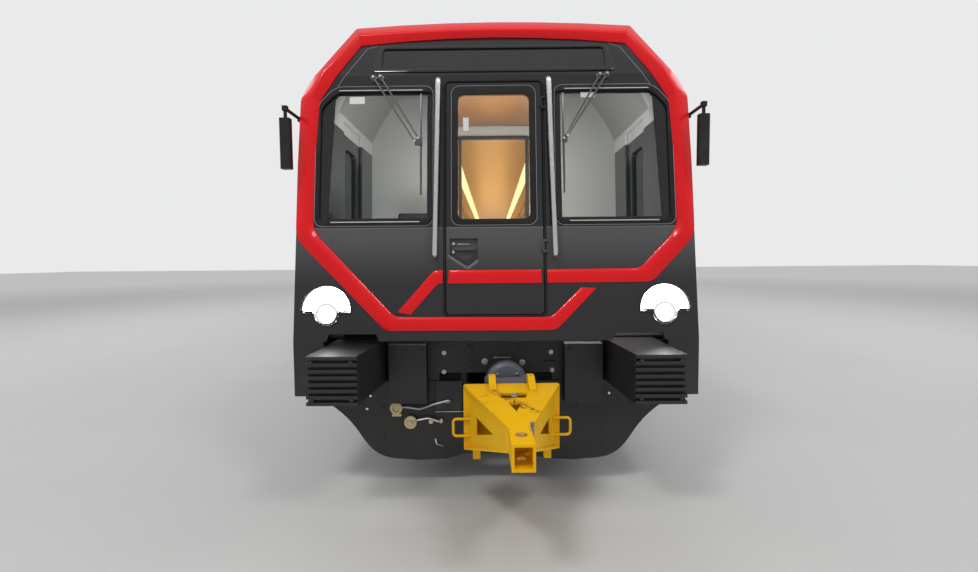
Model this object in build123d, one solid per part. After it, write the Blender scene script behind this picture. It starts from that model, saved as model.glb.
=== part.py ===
from build123d import *
import math
import os

os.makedirs("parts", exist_ok=True)

# Metro cab car, in millimetres. The cab faces -Y and Z = 0 is at the tips of the wheel flanges.
# Left and right are the car's own: left is +X, right is -X.

# Body shell
BODY_LENGTH = 17500
BODY_MID_Y = 335
FRONT_Y = BODY_MID_Y - BODY_LENGTH / 2
REAR_Y = BODY_MID_Y + BODY_LENGTH / 2
HALF_WIDTH = 1430
SHOULDER_INSET = 22
SHOULDER_HALF_WIDTH = HALF_WIDTH - SHOULDER_INSET
SKIRT_Z = 760
FLOOR_Z = 1128
FLOOR_THICKNESS = 70
WAIST_Z = 2050
SHOULDER_Z = 2990
CANT_INSET = 367
CANT_HALF_WIDTH = HALF_WIDTH - CANT_INSET
CANT_Z = 3515
CANT_BULGE = 14
ROOF_Z = 3565
WALL = 95
ROOF_THICKNESS = 70
END_WALL = 60
FIT = 0.3
MOVING_GAP = 6

# Raked front: unrolled places are (x, v), with v measured up the face from its lower edge
KINK_Z = 1150
FACE_RAKE = 8
BROW_RAKE = 27
BROW_V = 1950
MASK = 45
CAB_SHELL_LENGTH = 800
CAB_JOINT_Y = FRONT_Y + CAB_SHELL_LENGTH

# Doorways along the saloon
DOOR_COUNT = 4
FIRST_DOOR_Y = FRONT_Y + 3500
LAST_DOOR_Y = REAR_Y - 2450
DOOR_PITCH = (LAST_DOOR_Y - FIRST_DOOR_Y) / (DOOR_COUNT - 1)
DOOR_CLEAR = 1300
DOOR_TOP_Z = 2950
LEAF_LAP = 22
LEAF_TRAVEL = 636
LEAF_THICKNESS = 41
LEAF_MEET_GAP = 3
POCKET_GAP = 5.5
TRACK_WIDTH = 14
TRACK_HEIGHT = 14
LEAF_WINDOW_WIDTH = 400
LEAF_WINDOW_Z = (1990, 2740)
WINDOW_POCKET_MARGIN = 66
WINDOW_Z = (1930, 2790)
WINDOW_CORNER = 70
GLASS = 8

# Cab fittings
CAB_DOOR_Y = (FRONT_Y + 940, FRONT_Y + 1520)
CAB_LEAF_LAP = 20
CAB_LEAF_TRAVEL = 590
CAB_DOOR_WINDOW_MARGIN = 110
PARTITION_Y = FRONT_Y + 1930
PARTITION_THICKNESS = 50

# Running gear
AXLE_Z = 448
TREAD_RADIUS = 420
FLANGE_HEIGHT = 28
WHEEL_INNER_X = 676.5
WHEEL_WIDTH = 135
FLANGE_WIDTH = 32
AXLE_RADIUS = 78
JOURNAL_RADIUS = 62
JOURNAL_X = (905, 1085)
WHEELBASE = 2150
BOGIE_Y = (FRONT_Y + 3020, REAR_Y - 3180)
BOLSTER_Z = 905
PIVOT_RADIUS = 90
SIDE_FRAME_X = (915, 1085)
FRAME_OVERHANG = 355
EQUIPMENT_ROOM = (1000, 840)
bogie_half = WHEELBASE / 2 + FRAME_OVERHANG
equipment_y = (
    BOGIE_Y[0] + bogie_half + EQUIPMENT_ROOM[0],
    BOGIE_Y[1] - bogie_half - EQUIPMENT_ROOM[1],
)

# Coupler
COUPLER_Z = 730
COUPLER_PIVOT_Y = FRONT_Y + 900
COUPLER_YAW = 5.9
DRAWBAR_PIVOT_Y = REAR_Y - 500
DRAWBAR_LENGTH = 873

nodes = []


def save(name, *shapes):
    """Write the solids of one sub-part to its STEP file."""
    solids = [solid for shape in shapes for solid in shape.solids()]
    whole = solids[0] if len(solids) == 1 else Compound(solids)
    export_step(whole, "parts/" + name + ".step")
    nodes.append(name)


def block(x0, x1, y0, y1, z0, z1):
    """A box given by its limits on each axis."""
    centre = Pos((x0 + x1) / 2, (y0 + y1) / 2, (z0 + z1) / 2)
    return centre * Box(abs(x1 - x0), abs(y1 - y0), abs(z1 - z0))


def along_y(face, y0, y1):
    """Extrude a face drawn in (x, z) from y0 to y1."""
    return Pos(0, y0, 0) * extrude(Plane.XZ * face, y1 - y0, dir=(0, 1, 0))


def along_x(face, x0, x1):
    """Extrude a face drawn in (y, z) from x0 to x1."""
    return Pos(x0, 0, 0) * extrude(Plane.YZ * face, x1 - x0, dir=(1, 0, 0))


def polygon(*points):
    return make_face(Polyline(*points, close=True))


def rounded(width, height, radius):
    return RectangleRounded(width, height, radius)


def rounded_between(x0, x1, z0, z1, radius):
    return Pos((x0 + x1) / 2, (z0 + z1) / 2) * rounded(x1 - x0, z1 - z0, radius)


def rod(start, end, radius):
    """A round bar between two points."""
    direction = Vector(*end) - Vector(*start)
    plane = Plane(origin=start, z_dir=direction)
    return plane * Pos(0, 0, direction.length / 2) * Cylinder(radius, direction.length)


def bent_rod(plane, points, bend, radius):
    """A round bar along a path with rounded corners, drawn on a plane."""
    path = plane * FilletPolyline(*points, radius=bend)
    section = Plane(origin=path @ 0, z_dir=path % 0) * Circle(radius)
    return sweep(section, path)


def both_sides(solid):
    return solid + mirror(solid, Plane.YZ)


def wall_x(z):
    """Half width of the outer skin at a height."""
    if z <= WAIST_Z:
        return HALF_WIDTH
    lean = (HALF_WIDTH - SHOULDER_HALF_WIDTH) / (SHOULDER_Z - WAIST_Z)
    return HALF_WIDTH - lean * (z - WAIST_Z)


def wall_band(depth0, depth1, z0, z1):
    """Face in (x, z) between two depths below the left side's outer skin."""
    heights = [z0] + ([WAIST_Z] if z0 < WAIST_Z < z1 else []) + [z1]
    outer = [(wall_x(z) - depth0, z) for z in heights]
    inner = [(wall_x(z) - depth1, z) for z in reversed(heights)]
    return polygon(*outer, *inner)


def roof_face(inset):
    """Roof area in (x, z) above the shoulders, drawn in by an inset."""
    side = SHOULDER_HALF_WIDTH - (WALL if inset else 0)
    cant_x = CANT_HALF_WIDTH - inset * 0.75
    cant_z = CANT_Z - inset * 0.9
    middle_x = (side + cant_x) / 2 + CANT_BULGE
    middle_z = (SHOULDER_Z + cant_z) / 2 + CANT_BULGE
    top = ROOF_Z - inset
    outline = Line((-side, SHOULDER_Z), (side, SHOULDER_Z))
    outline += ThreePointArc((side, SHOULDER_Z), (middle_x, middle_z), (cant_x, cant_z))
    outline += ThreePointArc((cant_x, cant_z), (0, top), (-cant_x, cant_z))
    outline += ThreePointArc((-cant_x, cant_z), (-middle_x, middle_z), (-side, SHOULDER_Z))
    return make_face(outline)


def body_area(inset, z0):
    """Whole cross-section in (x, z) from z0 up, outside or inside the shell."""
    depth = WALL if inset else 0
    left = [(wall_x(z) - depth, z) for z in (z0, WAIST_Z, SHOULDER_Z)]
    right = [(-x, z) for x, z in reversed(left)]
    return polygon(*left, *right) + roof_face(inset)


# Planes of the front face
face_plane = Plane(
    origin=(0, FRONT_Y, KINK_Z),
    x_dir=(1, 0, 0),
    z_dir=(0, -math.cos(math.radians(FACE_RAKE)), math.sin(math.radians(FACE_RAKE))),
)
brow_plane = Plane(
    origin=face_plane.from_local_coords(Vector(0, BROW_V, 0)),
    x_dir=(1, 0, 0),
    z_dir=(0, -math.cos(math.radians(BROW_RAKE)), math.sin(math.radians(BROW_RAKE))),
)


def front_point(x, v, height):
    """Point on the front face, folded over the brow, at a height above the surface."""
    if v > BROW_V:
        return brow_plane.from_local_coords(Vector(x, v - BROW_V, height))
    return face_plane.from_local_coords(Vector(x, v, height))


def on_face(face, h0, h1):
    """Extrude a face drawn in (x, v) between two heights above the raked front."""
    return face_plane * Pos(0, 0, h0) * extrude(face, h1 - h0, dir=(0, 0, 1))


def on_brow(face, h0, h1):
    """The same on the brow, with v counted from the brow's lower edge."""
    return brow_plane * Pos(0, 0, h0) * extrude(face, h1 - h0, dir=(0, 0, 1))


# Outline of the face: half width of its edge at a place up the face
EDGE_INSET = 2
EDGE_LEAN_V = 790
EDGE_SHOULDER_V = 1765
EDGE_TOP_V = 2447
EDGE_SHOULDER_OUT = 10
TOP_ARCH = 55
side_edge_x = HALF_WIDTH - EDGE_INSET
shoulder_edge_x = SHOULDER_HALF_WIDTH + EDGE_SHOULDER_OUT
brow_share = (BROW_V - EDGE_SHOULDER_V) / (EDGE_TOP_V - EDGE_SHOULDER_V)
brow_edge_x = shoulder_edge_x + brow_share * (CANT_HALF_WIDTH - shoulder_edge_x)


def top_rise(share):
    """Extra height of the arched top edge at a share of its half width."""
    return TOP_ARCH * (1 - share**2)


# Red ribbon round the mask: each station gives the outer edge, the ridge and the inner edge
RIM_RIDGE = 56
RIM_WIDTH = 130
BAND_HALF = 50
RIM_CREST = 36
BAND_CREST = 12
BAR_V = 454
LOW_BAR_V = 98
LOW_BAR_HALF = 43
ARCH_SHARES = (1, 0.66, 0.33, 0, -0.33, -0.66, -1)
top_stations = [
    (
        (CANT_HALF_WIDTH * share, EDGE_TOP_V + top_rise(share)),
        ((CANT_HALF_WIDTH - 13) * share, EDGE_TOP_V - 70 + top_rise(share)),
        ((CANT_HALF_WIDTH - 54) * share, EDGE_TOP_V - 180 + top_rise(share)),
        RIM_CREST,
    )
    for share in ARCH_SHARES
]


def rim_station(side, edge_x, v, drop, crest):
    """Station on a side of the rim, with its inner edge a little lower or higher."""
    return (
        (side * edge_x, v),
        (side * (edge_x - RIM_RIDGE), v + drop / 2),
        (side * (edge_x - RIM_WIDTH), v + drop),
        crest,
    )


def shoulder_station(side):
    """Station at a top corner of the mask, where the rim turns towards the brow."""
    return (
        (side * shoulder_edge_x, EDGE_SHOULDER_V),
        (side * (shoulder_edge_x - RIM_RIDGE), EDGE_SHOULDER_V + 45),
        (side * (shoulder_edge_x - RIM_WIDTH), EDGE_SHOULDER_V - 20),
        RIM_CREST,
    )


ribbon_stations = [
    ((-588, 170), (-638, 185), (-688, 200), BAND_CREST),
    ((-588, 276), (-638, 330), (-688, 380), BAND_CREST),
    ((-398, BAR_V - BAND_HALF), (-390, BAR_V), (-382, BAR_V + BAND_HALF), BAND_CREST),
    (
        (side_edge_x - 301, BAR_V - BAND_HALF),
        (side_edge_x - 343, BAR_V),
        (side_edge_x - 386, BAR_V + BAND_HALF),
        BAND_CREST,
    ),
    ((side_edge_x - 33, 680), (side_edge_x - 76, 732), (side_edge_x - 138, 772), 16),
    rim_station(1, side_edge_x, EDGE_LEAN_V, 22, 30),
    shoulder_station(1),
    rim_station(1, brow_edge_x, BROW_V, 0, RIM_CREST),
    *top_stations,
    rim_station(-1, brow_edge_x, BROW_V, 0, RIM_CREST),
    shoulder_station(-1),
    rim_station(-1, side_edge_x, 700, 0, 30),
    ((56 - side_edge_x, 620), (118 - side_edge_x, 632), (188 - side_edge_x, 640), 16),
    ((-815, 92), (-772, 117), (-728, 155), BAND_CREST),
    ((-760, LOW_BAR_V - LOW_BAR_HALF), (-740, LOW_BAR_V), (-700, LOW_BAR_V + LOW_BAR_HALF), BAND_CREST),
    ((420, LOW_BAR_V - LOW_BAR_HALF), (400, LOW_BAR_V), (380, LOW_BAR_V + LOW_BAR_HALF), BAND_CREST),
    ((560, 210), (505, 235), (460, 262), BAND_CREST),
    ((720, 372), (666, 376), (612, 380), BAND_CREST),
]
EDGE_HEIGHT = 7


def ribbon_corners(station):
    outer, ridge, inner, crest = station
    heights = ((outer, FIT), (outer, EDGE_HEIGHT), (ridge, crest), (inner, EDGE_HEIGHT), (inner, FIT))
    return [front_point(*place, height) for place, height in heights]


def facet(*corners):
    return Face(Wire.make_polygon(corners, close=True))


def faceted_bar(sections):
    """Solid skinned with flat triangles over a row of like sections."""
    faces = [facet(*sections[0]), facet(*sections[-1])]
    for near, far in zip(sections, sections[1:]):
        for index in range(len(near)):
            after = (index + 1) % len(near)
            faces.append(facet(near[index], near[after], far[after]))
            faces.append(facet(near[index], far[after], far[index]))
    return Solid(Shell(faces))


ribbon = faceted_bar([ribbon_corners(station) for station in ribbon_stations])

# Emergency door in the raked front
FRONT_DOOR_HALF = 347
FRONT_DOOR_V = (186, 1890)
FRONT_DOOR_THICKNESS = 50
FRONT_SEAL = 24
door_opening = rounded_between(
    -FRONT_DOOR_HALF - MOVING_GAP,
    FRONT_DOOR_HALF + MOVING_GAP,
    FRONT_DOOR_V[0] - MOVING_GAP,
    FRONT_DOOR_V[1] + MOVING_GAP,
    34,
)
door_outline = rounded_between(-FRONT_DOOR_HALF, FRONT_DOOR_HALF, *FRONT_DOOR_V, 28)
door_window = rounded_between(-262, 258, 872, 1812, 40)
door_seam = on_face(
    rounded_between(
        -FRONT_DOOR_HALF - FRONT_SEAL,
        FRONT_DOOR_HALF + FRONT_SEAL,
        FRONT_DOOR_V[0] - FRONT_SEAL,
        FRONT_DOOR_V[1] + FRONT_SEAL,
        34,
    ),
    -200,
    200,
)
mask_rim = ribbon - door_seam
DOOR_BAND_HALF = 335
door_band = ribbon & on_face(
    rounded_between(-DOOR_BAND_HALF, DOOR_BAND_HALF, 300, 600, 4), -200, 200
)
handle_pocket = polygon((-322, 730), (-120, 730), (-120, 660), (-190, 560), (-322, 620))
front_door = on_face(door_outline, -FRONT_DOOR_THICKNESS, 0)
front_door -= on_face(door_window, -FRONT_DOOR_THICKNESS - 1, 1)
HANDLE_POCKET_DEPTH = 28
front_door -= on_face(handle_pocket, -HANDLE_POCKET_DEPTH, 1)
front_door += on_face(Pos(-221, 655) * rounded(150, 22, 8), -16, -2)
for post_x in (-280, -162):
    front_door += on_face(Pos(post_x, 655) * rounded(16, 16, 4), -HANDLE_POCKET_DEPTH, -4)
HINGE_X = FRONT_DOOR_HALF + 3
HINGE_HEIGHT = 12
KNUCKLE_RADIUS = 8
PIN_RADIUS = 4
PIN_CLEARANCE = 0.1
KNUCKLE_LENGTH = 60
LUG_LENGTH = 16
LUG_GAP = 1
HINGE_V = (640, 1700)


def along_v(radius, v0, v1):
    """Round bar on the door's hinge line, between two places up the face."""
    start = face_plane.from_local_coords(Vector(HINGE_X, v0, HINGE_HEIGHT))
    end = face_plane.from_local_coords(Vector(HINGE_X, v1, HINGE_HEIGHT))
    return rod(tuple(start), tuple(end), radius)


hinge_lugs = []
for hinge_v in HINGE_V:
    knuckle_end = hinge_v + KNUCKLE_LENGTH
    strap = Pos(HINGE_X - 12, hinge_v + KNUCKLE_LENGTH / 2) * Rectangle(24, KNUCKLE_LENGTH)
    front_door += on_face(strap, -1, KNUCKLE_RADIUS) + along_v(KNUCKLE_RADIUS, hinge_v, knuckle_end)
    front_door -= along_v(PIN_RADIUS + PIN_CLEARANCE, hinge_v - 1, knuckle_end + 1)
    pin = along_v(PIN_RADIUS, hinge_v - LUG_GAP - 1, knuckle_end + LUG_GAP + 1)
    hinge_lugs.append(pin)
    for lug_v in (hinge_v - LUG_GAP - LUG_LENGTH, knuckle_end + LUG_GAP):
        foot = Pos(HINGE_X + 14, lug_v + LUG_LENGTH / 2) * Rectangle(28, LUG_LENGTH)
        foot = on_face(foot, KNUCKLE_RADIUS / 2, HINGE_HEIGHT + KNUCKLE_RADIUS)
        root = Pos(HINGE_X + 20, lug_v + LUG_LENGTH / 2) * Rectangle(16, LUG_LENGTH)
        hinge_lugs.append(foot + on_face(root, -1, HINGE_HEIGHT))
        hinge_lugs.append(along_v(KNUCKLE_RADIUS, lug_v, lug_v + LUG_LENGTH))
save("front_door", front_door)
save("front_door_band", door_band)
FRONT_GLASS_DEPTH = 10
save(
    "front_door_glass",
    on_face(offset(door_window, -FIT), -FRONT_GLASS_DEPTH - GLASS, -FRONT_GLASS_DEPTH),
)
save("mask_rim", mask_rim)

# Front mask with its openings
WINDSCREEN_X = (452, HALF_WIDTH - 168)
WINDSCREEN_V = (866, 1820)
windscreen_left = fillet(
    polygon(
        (WINDSCREEN_X[0], WINDSCREEN_V[0]),
        (WINDSCREEN_X[1], WINDSCREEN_V[0]),
        (WINDSCREEN_X[1], 1700),
        (WINDSCREEN_X[1] - 112, WINDSCREEN_V[1]),
        (WINDSCREEN_X[0], WINDSCREEN_V[1]),
    ).vertices(),
    26,
)
windscreen_right = mirror(windscreen_left, Plane.YZ)
side_outline = [
    (side_edge_x, 0),
    (side_edge_x, EDGE_LEAN_V),
    (shoulder_edge_x, EDGE_SHOULDER_V),
    (brow_edge_x, BROW_V),
]
face_outline = polygon(*side_outline, *[(-x, v) for x, v in reversed(side_outline)])
brow_top = [
    (CANT_HALF_WIDTH * share, EDGE_TOP_V - BROW_V + top_rise(share)) for share in ARCH_SHARES
]
brow_outline = polygon((brow_edge_x, 0), *brow_top, (-brow_edge_x, 0))
DISPLAY_HALF = CANT_HALF_WIDTH - 233
DISPLAY_V = (60, 270)
display_opening = rounded_between(-DISPLAY_HALF, DISPLAY_HALF, *DISPLAY_V, 20)
front_mask = on_face(face_outline, -MASK, 0) + on_brow(brow_outline, -MASK, 0)
CLIMBER_X = (HALF_WIDTH - 562, HALF_WIDTH - 240)
CLIMBER_Z = (812, 1124)
NOTCH_GAP = 25
NOTCH_TOP_Z = CLIMBER_Z[1] + 76
NOTCH_FLARE = 40
notch_x = (CLIMBER_X[0] - NOTCH_GAP, CLIMBER_X[1] + NOTCH_GAP)
for side in (1, -1):
    front_mask += block(
        side * notch_x[1], side * side_edge_x, FRONT_Y, FRONT_Y + MASK, SKIRT_Z, KINK_Z + 2
    )
    notch = along_y(
        polygon(
            (side * notch_x[0], NOTCH_TOP_Z),
            (side * (notch_x[1] - NOTCH_FLARE), NOTCH_TOP_Z),
            (side * notch_x[1], KINK_Z - NOTCH_FLARE),
            (side * (notch_x[0] - NOTCH_FLARE), KINK_Z - NOTCH_FLARE),
        ),
        FRONT_Y - 200,
        FRONT_Y + 200,
    )
    front_mask -= notch
LAMP_X = (HALF_WIDTH - 400, HALF_WIDTH - 45)
LAMP_BASE_V = 218
LAMP_RADIUS = 178
LOW_LAMP_RADIUS = 88
lamp_middle = (LAMP_X[0] + LAMP_X[1]) / 2
half_disc = Pos(lamp_middle, LAMP_BASE_V) * (
    Circle(LAMP_RADIUS) & Pos(0, LAMP_RADIUS / 2) * Rectangle(2 * LAMP_RADIUS, LAMP_RADIUS)
)
low_disc = Pos(lamp_middle, LAMP_BASE_V - 4) * Circle(LOW_LAMP_RADIUS)
lamp_shape = half_disc + low_disc
LAMP_DEPTH = 30
lamp_bed = on_face(lamp_shape, -LAMP_DEPTH, 60)
front_mask -= both_sides(lamp_bed)
front_mask -= on_face(door_opening, -200, 200)
front_mask -= both_sides(on_face(windscreen_left, -200, 200))
front_mask -= on_brow(display_opening, -200, 200)
for lug in hinge_lugs:
    front_mask += lug
save("front_mask", front_mask)

windscreens = both_sides(
    on_face(offset(windscreen_left, -FIT), -FRONT_GLASS_DEPTH - GLASS, -FRONT_GLASS_DEPTH)
)
save("windscreens", windscreens)
display = on_brow(offset(display_opening, -FIT), -MASK - 90, -4)
save("destination_display", display)
lens = offset(lamp_shape, -FIT)
headlamps = both_sides(on_face(lens, -LAMP_DEPTH, 6))
save("headlamps", headlamps)

# Cab shell: the first piece of the body tube, cut to the rake behind the mask
cab_shell = along_y(body_area(0, SKIRT_Z), FRONT_Y - 100, CAB_JOINT_Y)
cab_shell -= along_y(body_area(ROOF_THICKNESS, SKIRT_Z - 50), FRONT_Y - 200, CAB_JOINT_Y + 100)
AHEAD = 900
cab_shell -= block(-2000, 2000, FRONT_Y - AHEAD, FRONT_Y + MASK, 0, KINK_Z)
cab_shell -= on_face(Pos(0, 1000) * Rectangle(4000, 3400), -MASK, AHEAD)
cab_shell -= on_brow(Pos(0, 300) * Rectangle(4000, 1600), -MASK, AHEAD)
save("cab_shell", cab_shell)

# Side walls with door pockets, doorways and windows
door_centres = [FIRST_DOOR_Y + DOOR_PITCH * index for index in range(DOOR_COUNT)]
POCKET_REACH = DOOR_CLEAR / 2 + LEAF_LAP + LEAF_TRAVEL + MOVING_GAP
POCKET_TOP_Z = DOOR_TOP_Z + 30
leaf_depth = ((WALL - LEAF_THICKNESS) / 2, (WALL + LEAF_THICKNESS) / 2)
pocket_depth = (leaf_depth[0] - POCKET_GAP, leaf_depth[1] + POCKET_GAP)
LEAF_BOTTOM_Z = FLOOR_Z + TRACK_HEIGHT + FIT
LEAF_TOP_Z = POCKET_TOP_Z - MOVING_GAP
window_centres = [centre + DOOR_PITCH / 2 for centre in door_centres[:-1]]
END_WINDOW_WIDTH = 560
END_WINDOW_Y = door_centres[-1] + POCKET_REACH + 400
window_width = DOOR_PITCH - 2 * POCKET_REACH - 2 * WINDOW_POCKET_MARGIN
side_windows = [(centre, window_width) for centre in window_centres]
side_windows.append((END_WINDOW_Y, END_WINDOW_WIDTH))


def window_cut(centre_y, width, z_range, radius, grow=0.0):
    """Rounded prism through the left wall, for a window hole or its glass."""
    height = z_range[1] - z_range[0] + 2 * grow
    outline = rounded(width + 2 * grow, height, radius)
    middle_z = (z_range[0] + z_range[1]) / 2
    return along_x(Pos(centre_y, middle_z) * outline, HALF_WIDTH - 300, HALF_WIDTH + 100)


side_wall = along_y(wall_band(0, WALL, SKIRT_Z, SHOULDER_Z), CAB_JOINT_Y, REAR_Y - END_WALL)
for centre in door_centres:
    pocket = wall_band(*pocket_depth, FLOOR_Z, POCKET_TOP_Z)
    side_wall -= along_y(pocket, centre - POCKET_REACH, centre + POCKET_REACH)
    side_wall -= block(
        HALF_WIDTH - 300,
        HALF_WIDTH + 100,
        centre - DOOR_CLEAR / 2,
        centre + DOOR_CLEAR / 2,
        FLOOR_Z,
        DOOR_TOP_Z,
    )
    track_x = HALF_WIDTH - WALL / 2
    side_wall += block(
        track_x - TRACK_WIDTH / 2,
        track_x + TRACK_WIDTH / 2,
        centre - POCKET_REACH,
        centre + POCKET_REACH,
        FLOOR_Z,
        FLOOR_Z + TRACK_HEIGHT,
    )
for centre, width in side_windows:
    side_wall -= window_cut(centre, width, WINDOW_Z, WINDOW_CORNER)
cab_pocket_y = (
    CAB_DOOR_Y[0] - CAB_LEAF_LAP - MOVING_GAP,
    CAB_DOOR_Y[1] + CAB_LEAF_LAP + CAB_LEAF_TRAVEL + MOVING_GAP,
)
side_wall -= along_y(wall_band(*pocket_depth, FLOOR_Z, POCKET_TOP_Z), *cab_pocket_y)
side_wall -= block(HALF_WIDTH - 300, HALF_WIDTH + 100, *CAB_DOOR_Y, FLOOR_Z, DOOR_TOP_Z)
side_wall += block(
    track_x - TRACK_WIDTH / 2,
    track_x + TRACK_WIDTH / 2,
    *cab_pocket_y,
    FLOOR_Z,
    FLOOR_Z + TRACK_HEIGHT,
)
save("side_wall_left", side_wall)
save("side_wall_right", mirror(side_wall, Plane.YZ))

panes = []
WINDOW_GLASS_DEPTH = 12
for centre, width in side_windows:
    pane_band = wall_band(WINDOW_GLASS_DEPTH, WINDOW_GLASS_DEPTH + GLASS, 1500, SHOULDER_Z)
    pane = along_y(pane_band, centre - width, centre + width)
    panes.append(pane & window_cut(centre, width, WINDOW_Z, WINDOW_CORNER - FIT, -FIT))
panes = Compound([solid for pane in panes for solid in pane.solids()])
save("side_windows", panes, mirror(panes, Plane.YZ))

# Sliding leaves: on each side the fore leaves move together, and so do the aft leaves
leaf_width = DOOR_CLEAR / 2 + LEAF_LAP - LEAF_MEET_GAP
LEAF_GLASS_DEPTH = leaf_depth[0] + 8


def leaf_set(direction):
    """Leaves and panes of the left side whose outer ends point to -Y or +Y."""
    leaves, glasses = [], []
    for centre in door_centres:
        near = centre + direction * LEAF_MEET_GAP
        far = near + direction * leaf_width
        low, high = min(near, far), max(near, far)
        leaf = along_y(wall_band(*leaf_depth, LEAF_BOTTOM_Z, LEAF_TOP_Z), low, high)
        middle = centre + direction * (LEAF_MEET_GAP + DOOR_CLEAR / 4)
        leaf -= window_cut(middle, LEAF_WINDOW_WIDTH, LEAF_WINDOW_Z, WINDOW_CORNER)
        pane_band = wall_band(LEAF_GLASS_DEPTH, LEAF_GLASS_DEPTH + GLASS, 1500, SHOULDER_Z)
        pane = along_y(pane_band, low, high)
        pane = pane & window_cut(
            middle, LEAF_WINDOW_WIDTH, LEAF_WINDOW_Z, WINDOW_CORNER - FIT, -FIT
        )
        leaves.append(leaf)
        glasses.append(pane)
    return [
        Compound([solid for shape in shapes for solid in shape.solids()])
        for shapes in (leaves, glasses)
    ]


for direction, end in ((-1, "fore"), (1, "aft")):
    leaves, glasses = leaf_set(direction)
    save("door_leaves_left_" + end, leaves)
    save("door_glass_left_" + end, glasses)
    save("door_leaves_right_" + end, mirror(leaves, Plane.YZ))
    save("door_glass_right_" + end, mirror(glasses, Plane.YZ))

# Cab side doors, which slide aft into the wall
cab_leaf_y = (CAB_DOOR_Y[0] - CAB_LEAF_LAP, CAB_DOOR_Y[1] + CAB_LEAF_LAP)
cab_door = along_y(wall_band(*leaf_depth, LEAF_BOTTOM_Z, LEAF_TOP_Z), *cab_leaf_y)
cab_door_middle = (CAB_DOOR_Y[0] + CAB_DOOR_Y[1]) / 2
cab_window_width = CAB_DOOR_Y[1] - CAB_DOOR_Y[0] - 2 * CAB_DOOR_WINDOW_MARGIN
cab_door -= window_cut(cab_door_middle, cab_window_width, LEAF_WINDOW_Z, WINDOW_CORNER)
cab_pane_band = wall_band(LEAF_GLASS_DEPTH, LEAF_GLASS_DEPTH + GLASS, 1500, SHOULDER_Z)
cab_pane = along_y(cab_pane_band, *CAB_DOOR_Y) & window_cut(
    cab_door_middle, cab_window_width, LEAF_WINDOW_Z, WINDOW_CORNER - FIT, -FIT
)
for name, shape in (("cab_door", cab_door), ("cab_door_glass", cab_pane)):
    save(name + "_left", shape)
    save(name + "_right", mirror(shape, Plane.YZ))

# Roof, rear end wall and gangway bellows
roof_shell = along_y(roof_face(0), CAB_JOINT_Y, REAR_Y - END_WALL)
roof_shell -= along_y(roof_face(ROOF_THICKNESS), CAB_JOINT_Y - 10, REAR_Y)
save("roof_shell", roof_shell)

GANGWAY_HALF = 700
GANGWAY_TOP_Z = 3080
rear_wall = along_y(body_area(0, SKIRT_Z), REAR_Y - END_WALL, REAR_Y)
gangway_gap = rounded_between(-GANGWAY_HALF, GANGWAY_HALF, FLOOR_Z, GANGWAY_TOP_Z, 60)
rear_wall -= along_y(gangway_gap, REAR_Y - END_WALL - 10, REAR_Y + 10)
COUPLER_GAP_HALF = 430
COUPLER_GAP_TOP_Z = 860
rear_wall -= block(
    -COUPLER_GAP_HALF, COUPLER_GAP_HALF, REAR_Y - END_WALL - 10, REAR_Y + 10, 700, COUPLER_GAP_TOP_Z
)
save("rear_end_wall", rear_wall)

FOLD_COUNT = 6
FOLD_PITCH = 50
FOLD_VALLEY = 50
FOLD_PEAK = 110
BELLOWS_CLEARANCE = 20
BELLOWS_CORNER = 80
bellows_half = GANGWAY_HALF + BELLOWS_CLEARANCE
bellows_height = GANGWAY_TOP_Z - FLOOR_Z + 2 * BELLOWS_CLEARANCE
bellows_plane = Plane(
    origin=(0, REAR_Y, (FLOOR_Z + GANGWAY_TOP_Z) / 2), x_dir=(1, 0, 0), z_dir=(0, -1, 0)
)
bellows_loop = bellows_plane * RectangleRounded(
    2 * bellows_half, bellows_height, BELLOWS_CORNER
).wire()
fold_outline = [(0, 0), (FOLD_VALLEY, 0)]
for index in range(FOLD_COUNT):
    fold_outline.append((FOLD_PEAK, (index + 0.5) * FOLD_PITCH))
    fold_outline.append((FOLD_VALLEY, (index + 1) * FOLD_PITCH))
fold_outline.append((0, FOLD_COUNT * FOLD_PITCH))
loop_start = bellows_loop @ 0
loop_tangent = bellows_loop % 0
outwards = loop_tangent.cross(Vector(0, 1, 0))
if outwards.dot(loop_start - bellows_plane.origin) < 0:
    outwards = outwards * -1
fold_plane = Plane(origin=loop_start, x_dir=outwards, z_dir=outwards.cross(Vector(0, 1, 0)))
bellows = sweep(fold_plane * polygon(*fold_outline), bellows_loop)
save("gangway_bellows", bellows)

# Underframe: floor, sole bars, bearers, bolsters, headstocks and coupler pockets.
# The members are plain beams, each seated a hair from the next.
inner_half = HALF_WIDTH - WALL
FLOOR_UNDER_Z = FLOOR_Z - FLOOR_THICKNESS
FLOOR_FRONT_Y = FRONT_Y + 330
BEAM_TOP_Z = FLOOR_UNDER_Z - FIT
SOLE_BAR_WIDTH = 120
SOLE_BAR_LOW_Z = BOLSTER_Z + 20
HEADSTOCK_THICKNESS = 60
HEADSTOCK_INSET = 140
HEADSTOCK_LOW_Z = 800
HEADSTOCK_TOP_Z = FLOOR_UNDER_Z + 40
REAR_HEADSTOCK_THICKNESS = 120
headstock_y = FLOOR_FRONT_Y
rear_beam_y = REAR_Y - END_WALL - REAR_HEADSTOCK_THICKNESS
underframe = [
    block(-inner_half, inner_half, FLOOR_FRONT_Y, REAR_Y - END_WALL, FLOOR_UNDER_Z, FLOOR_Z)
]

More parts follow.
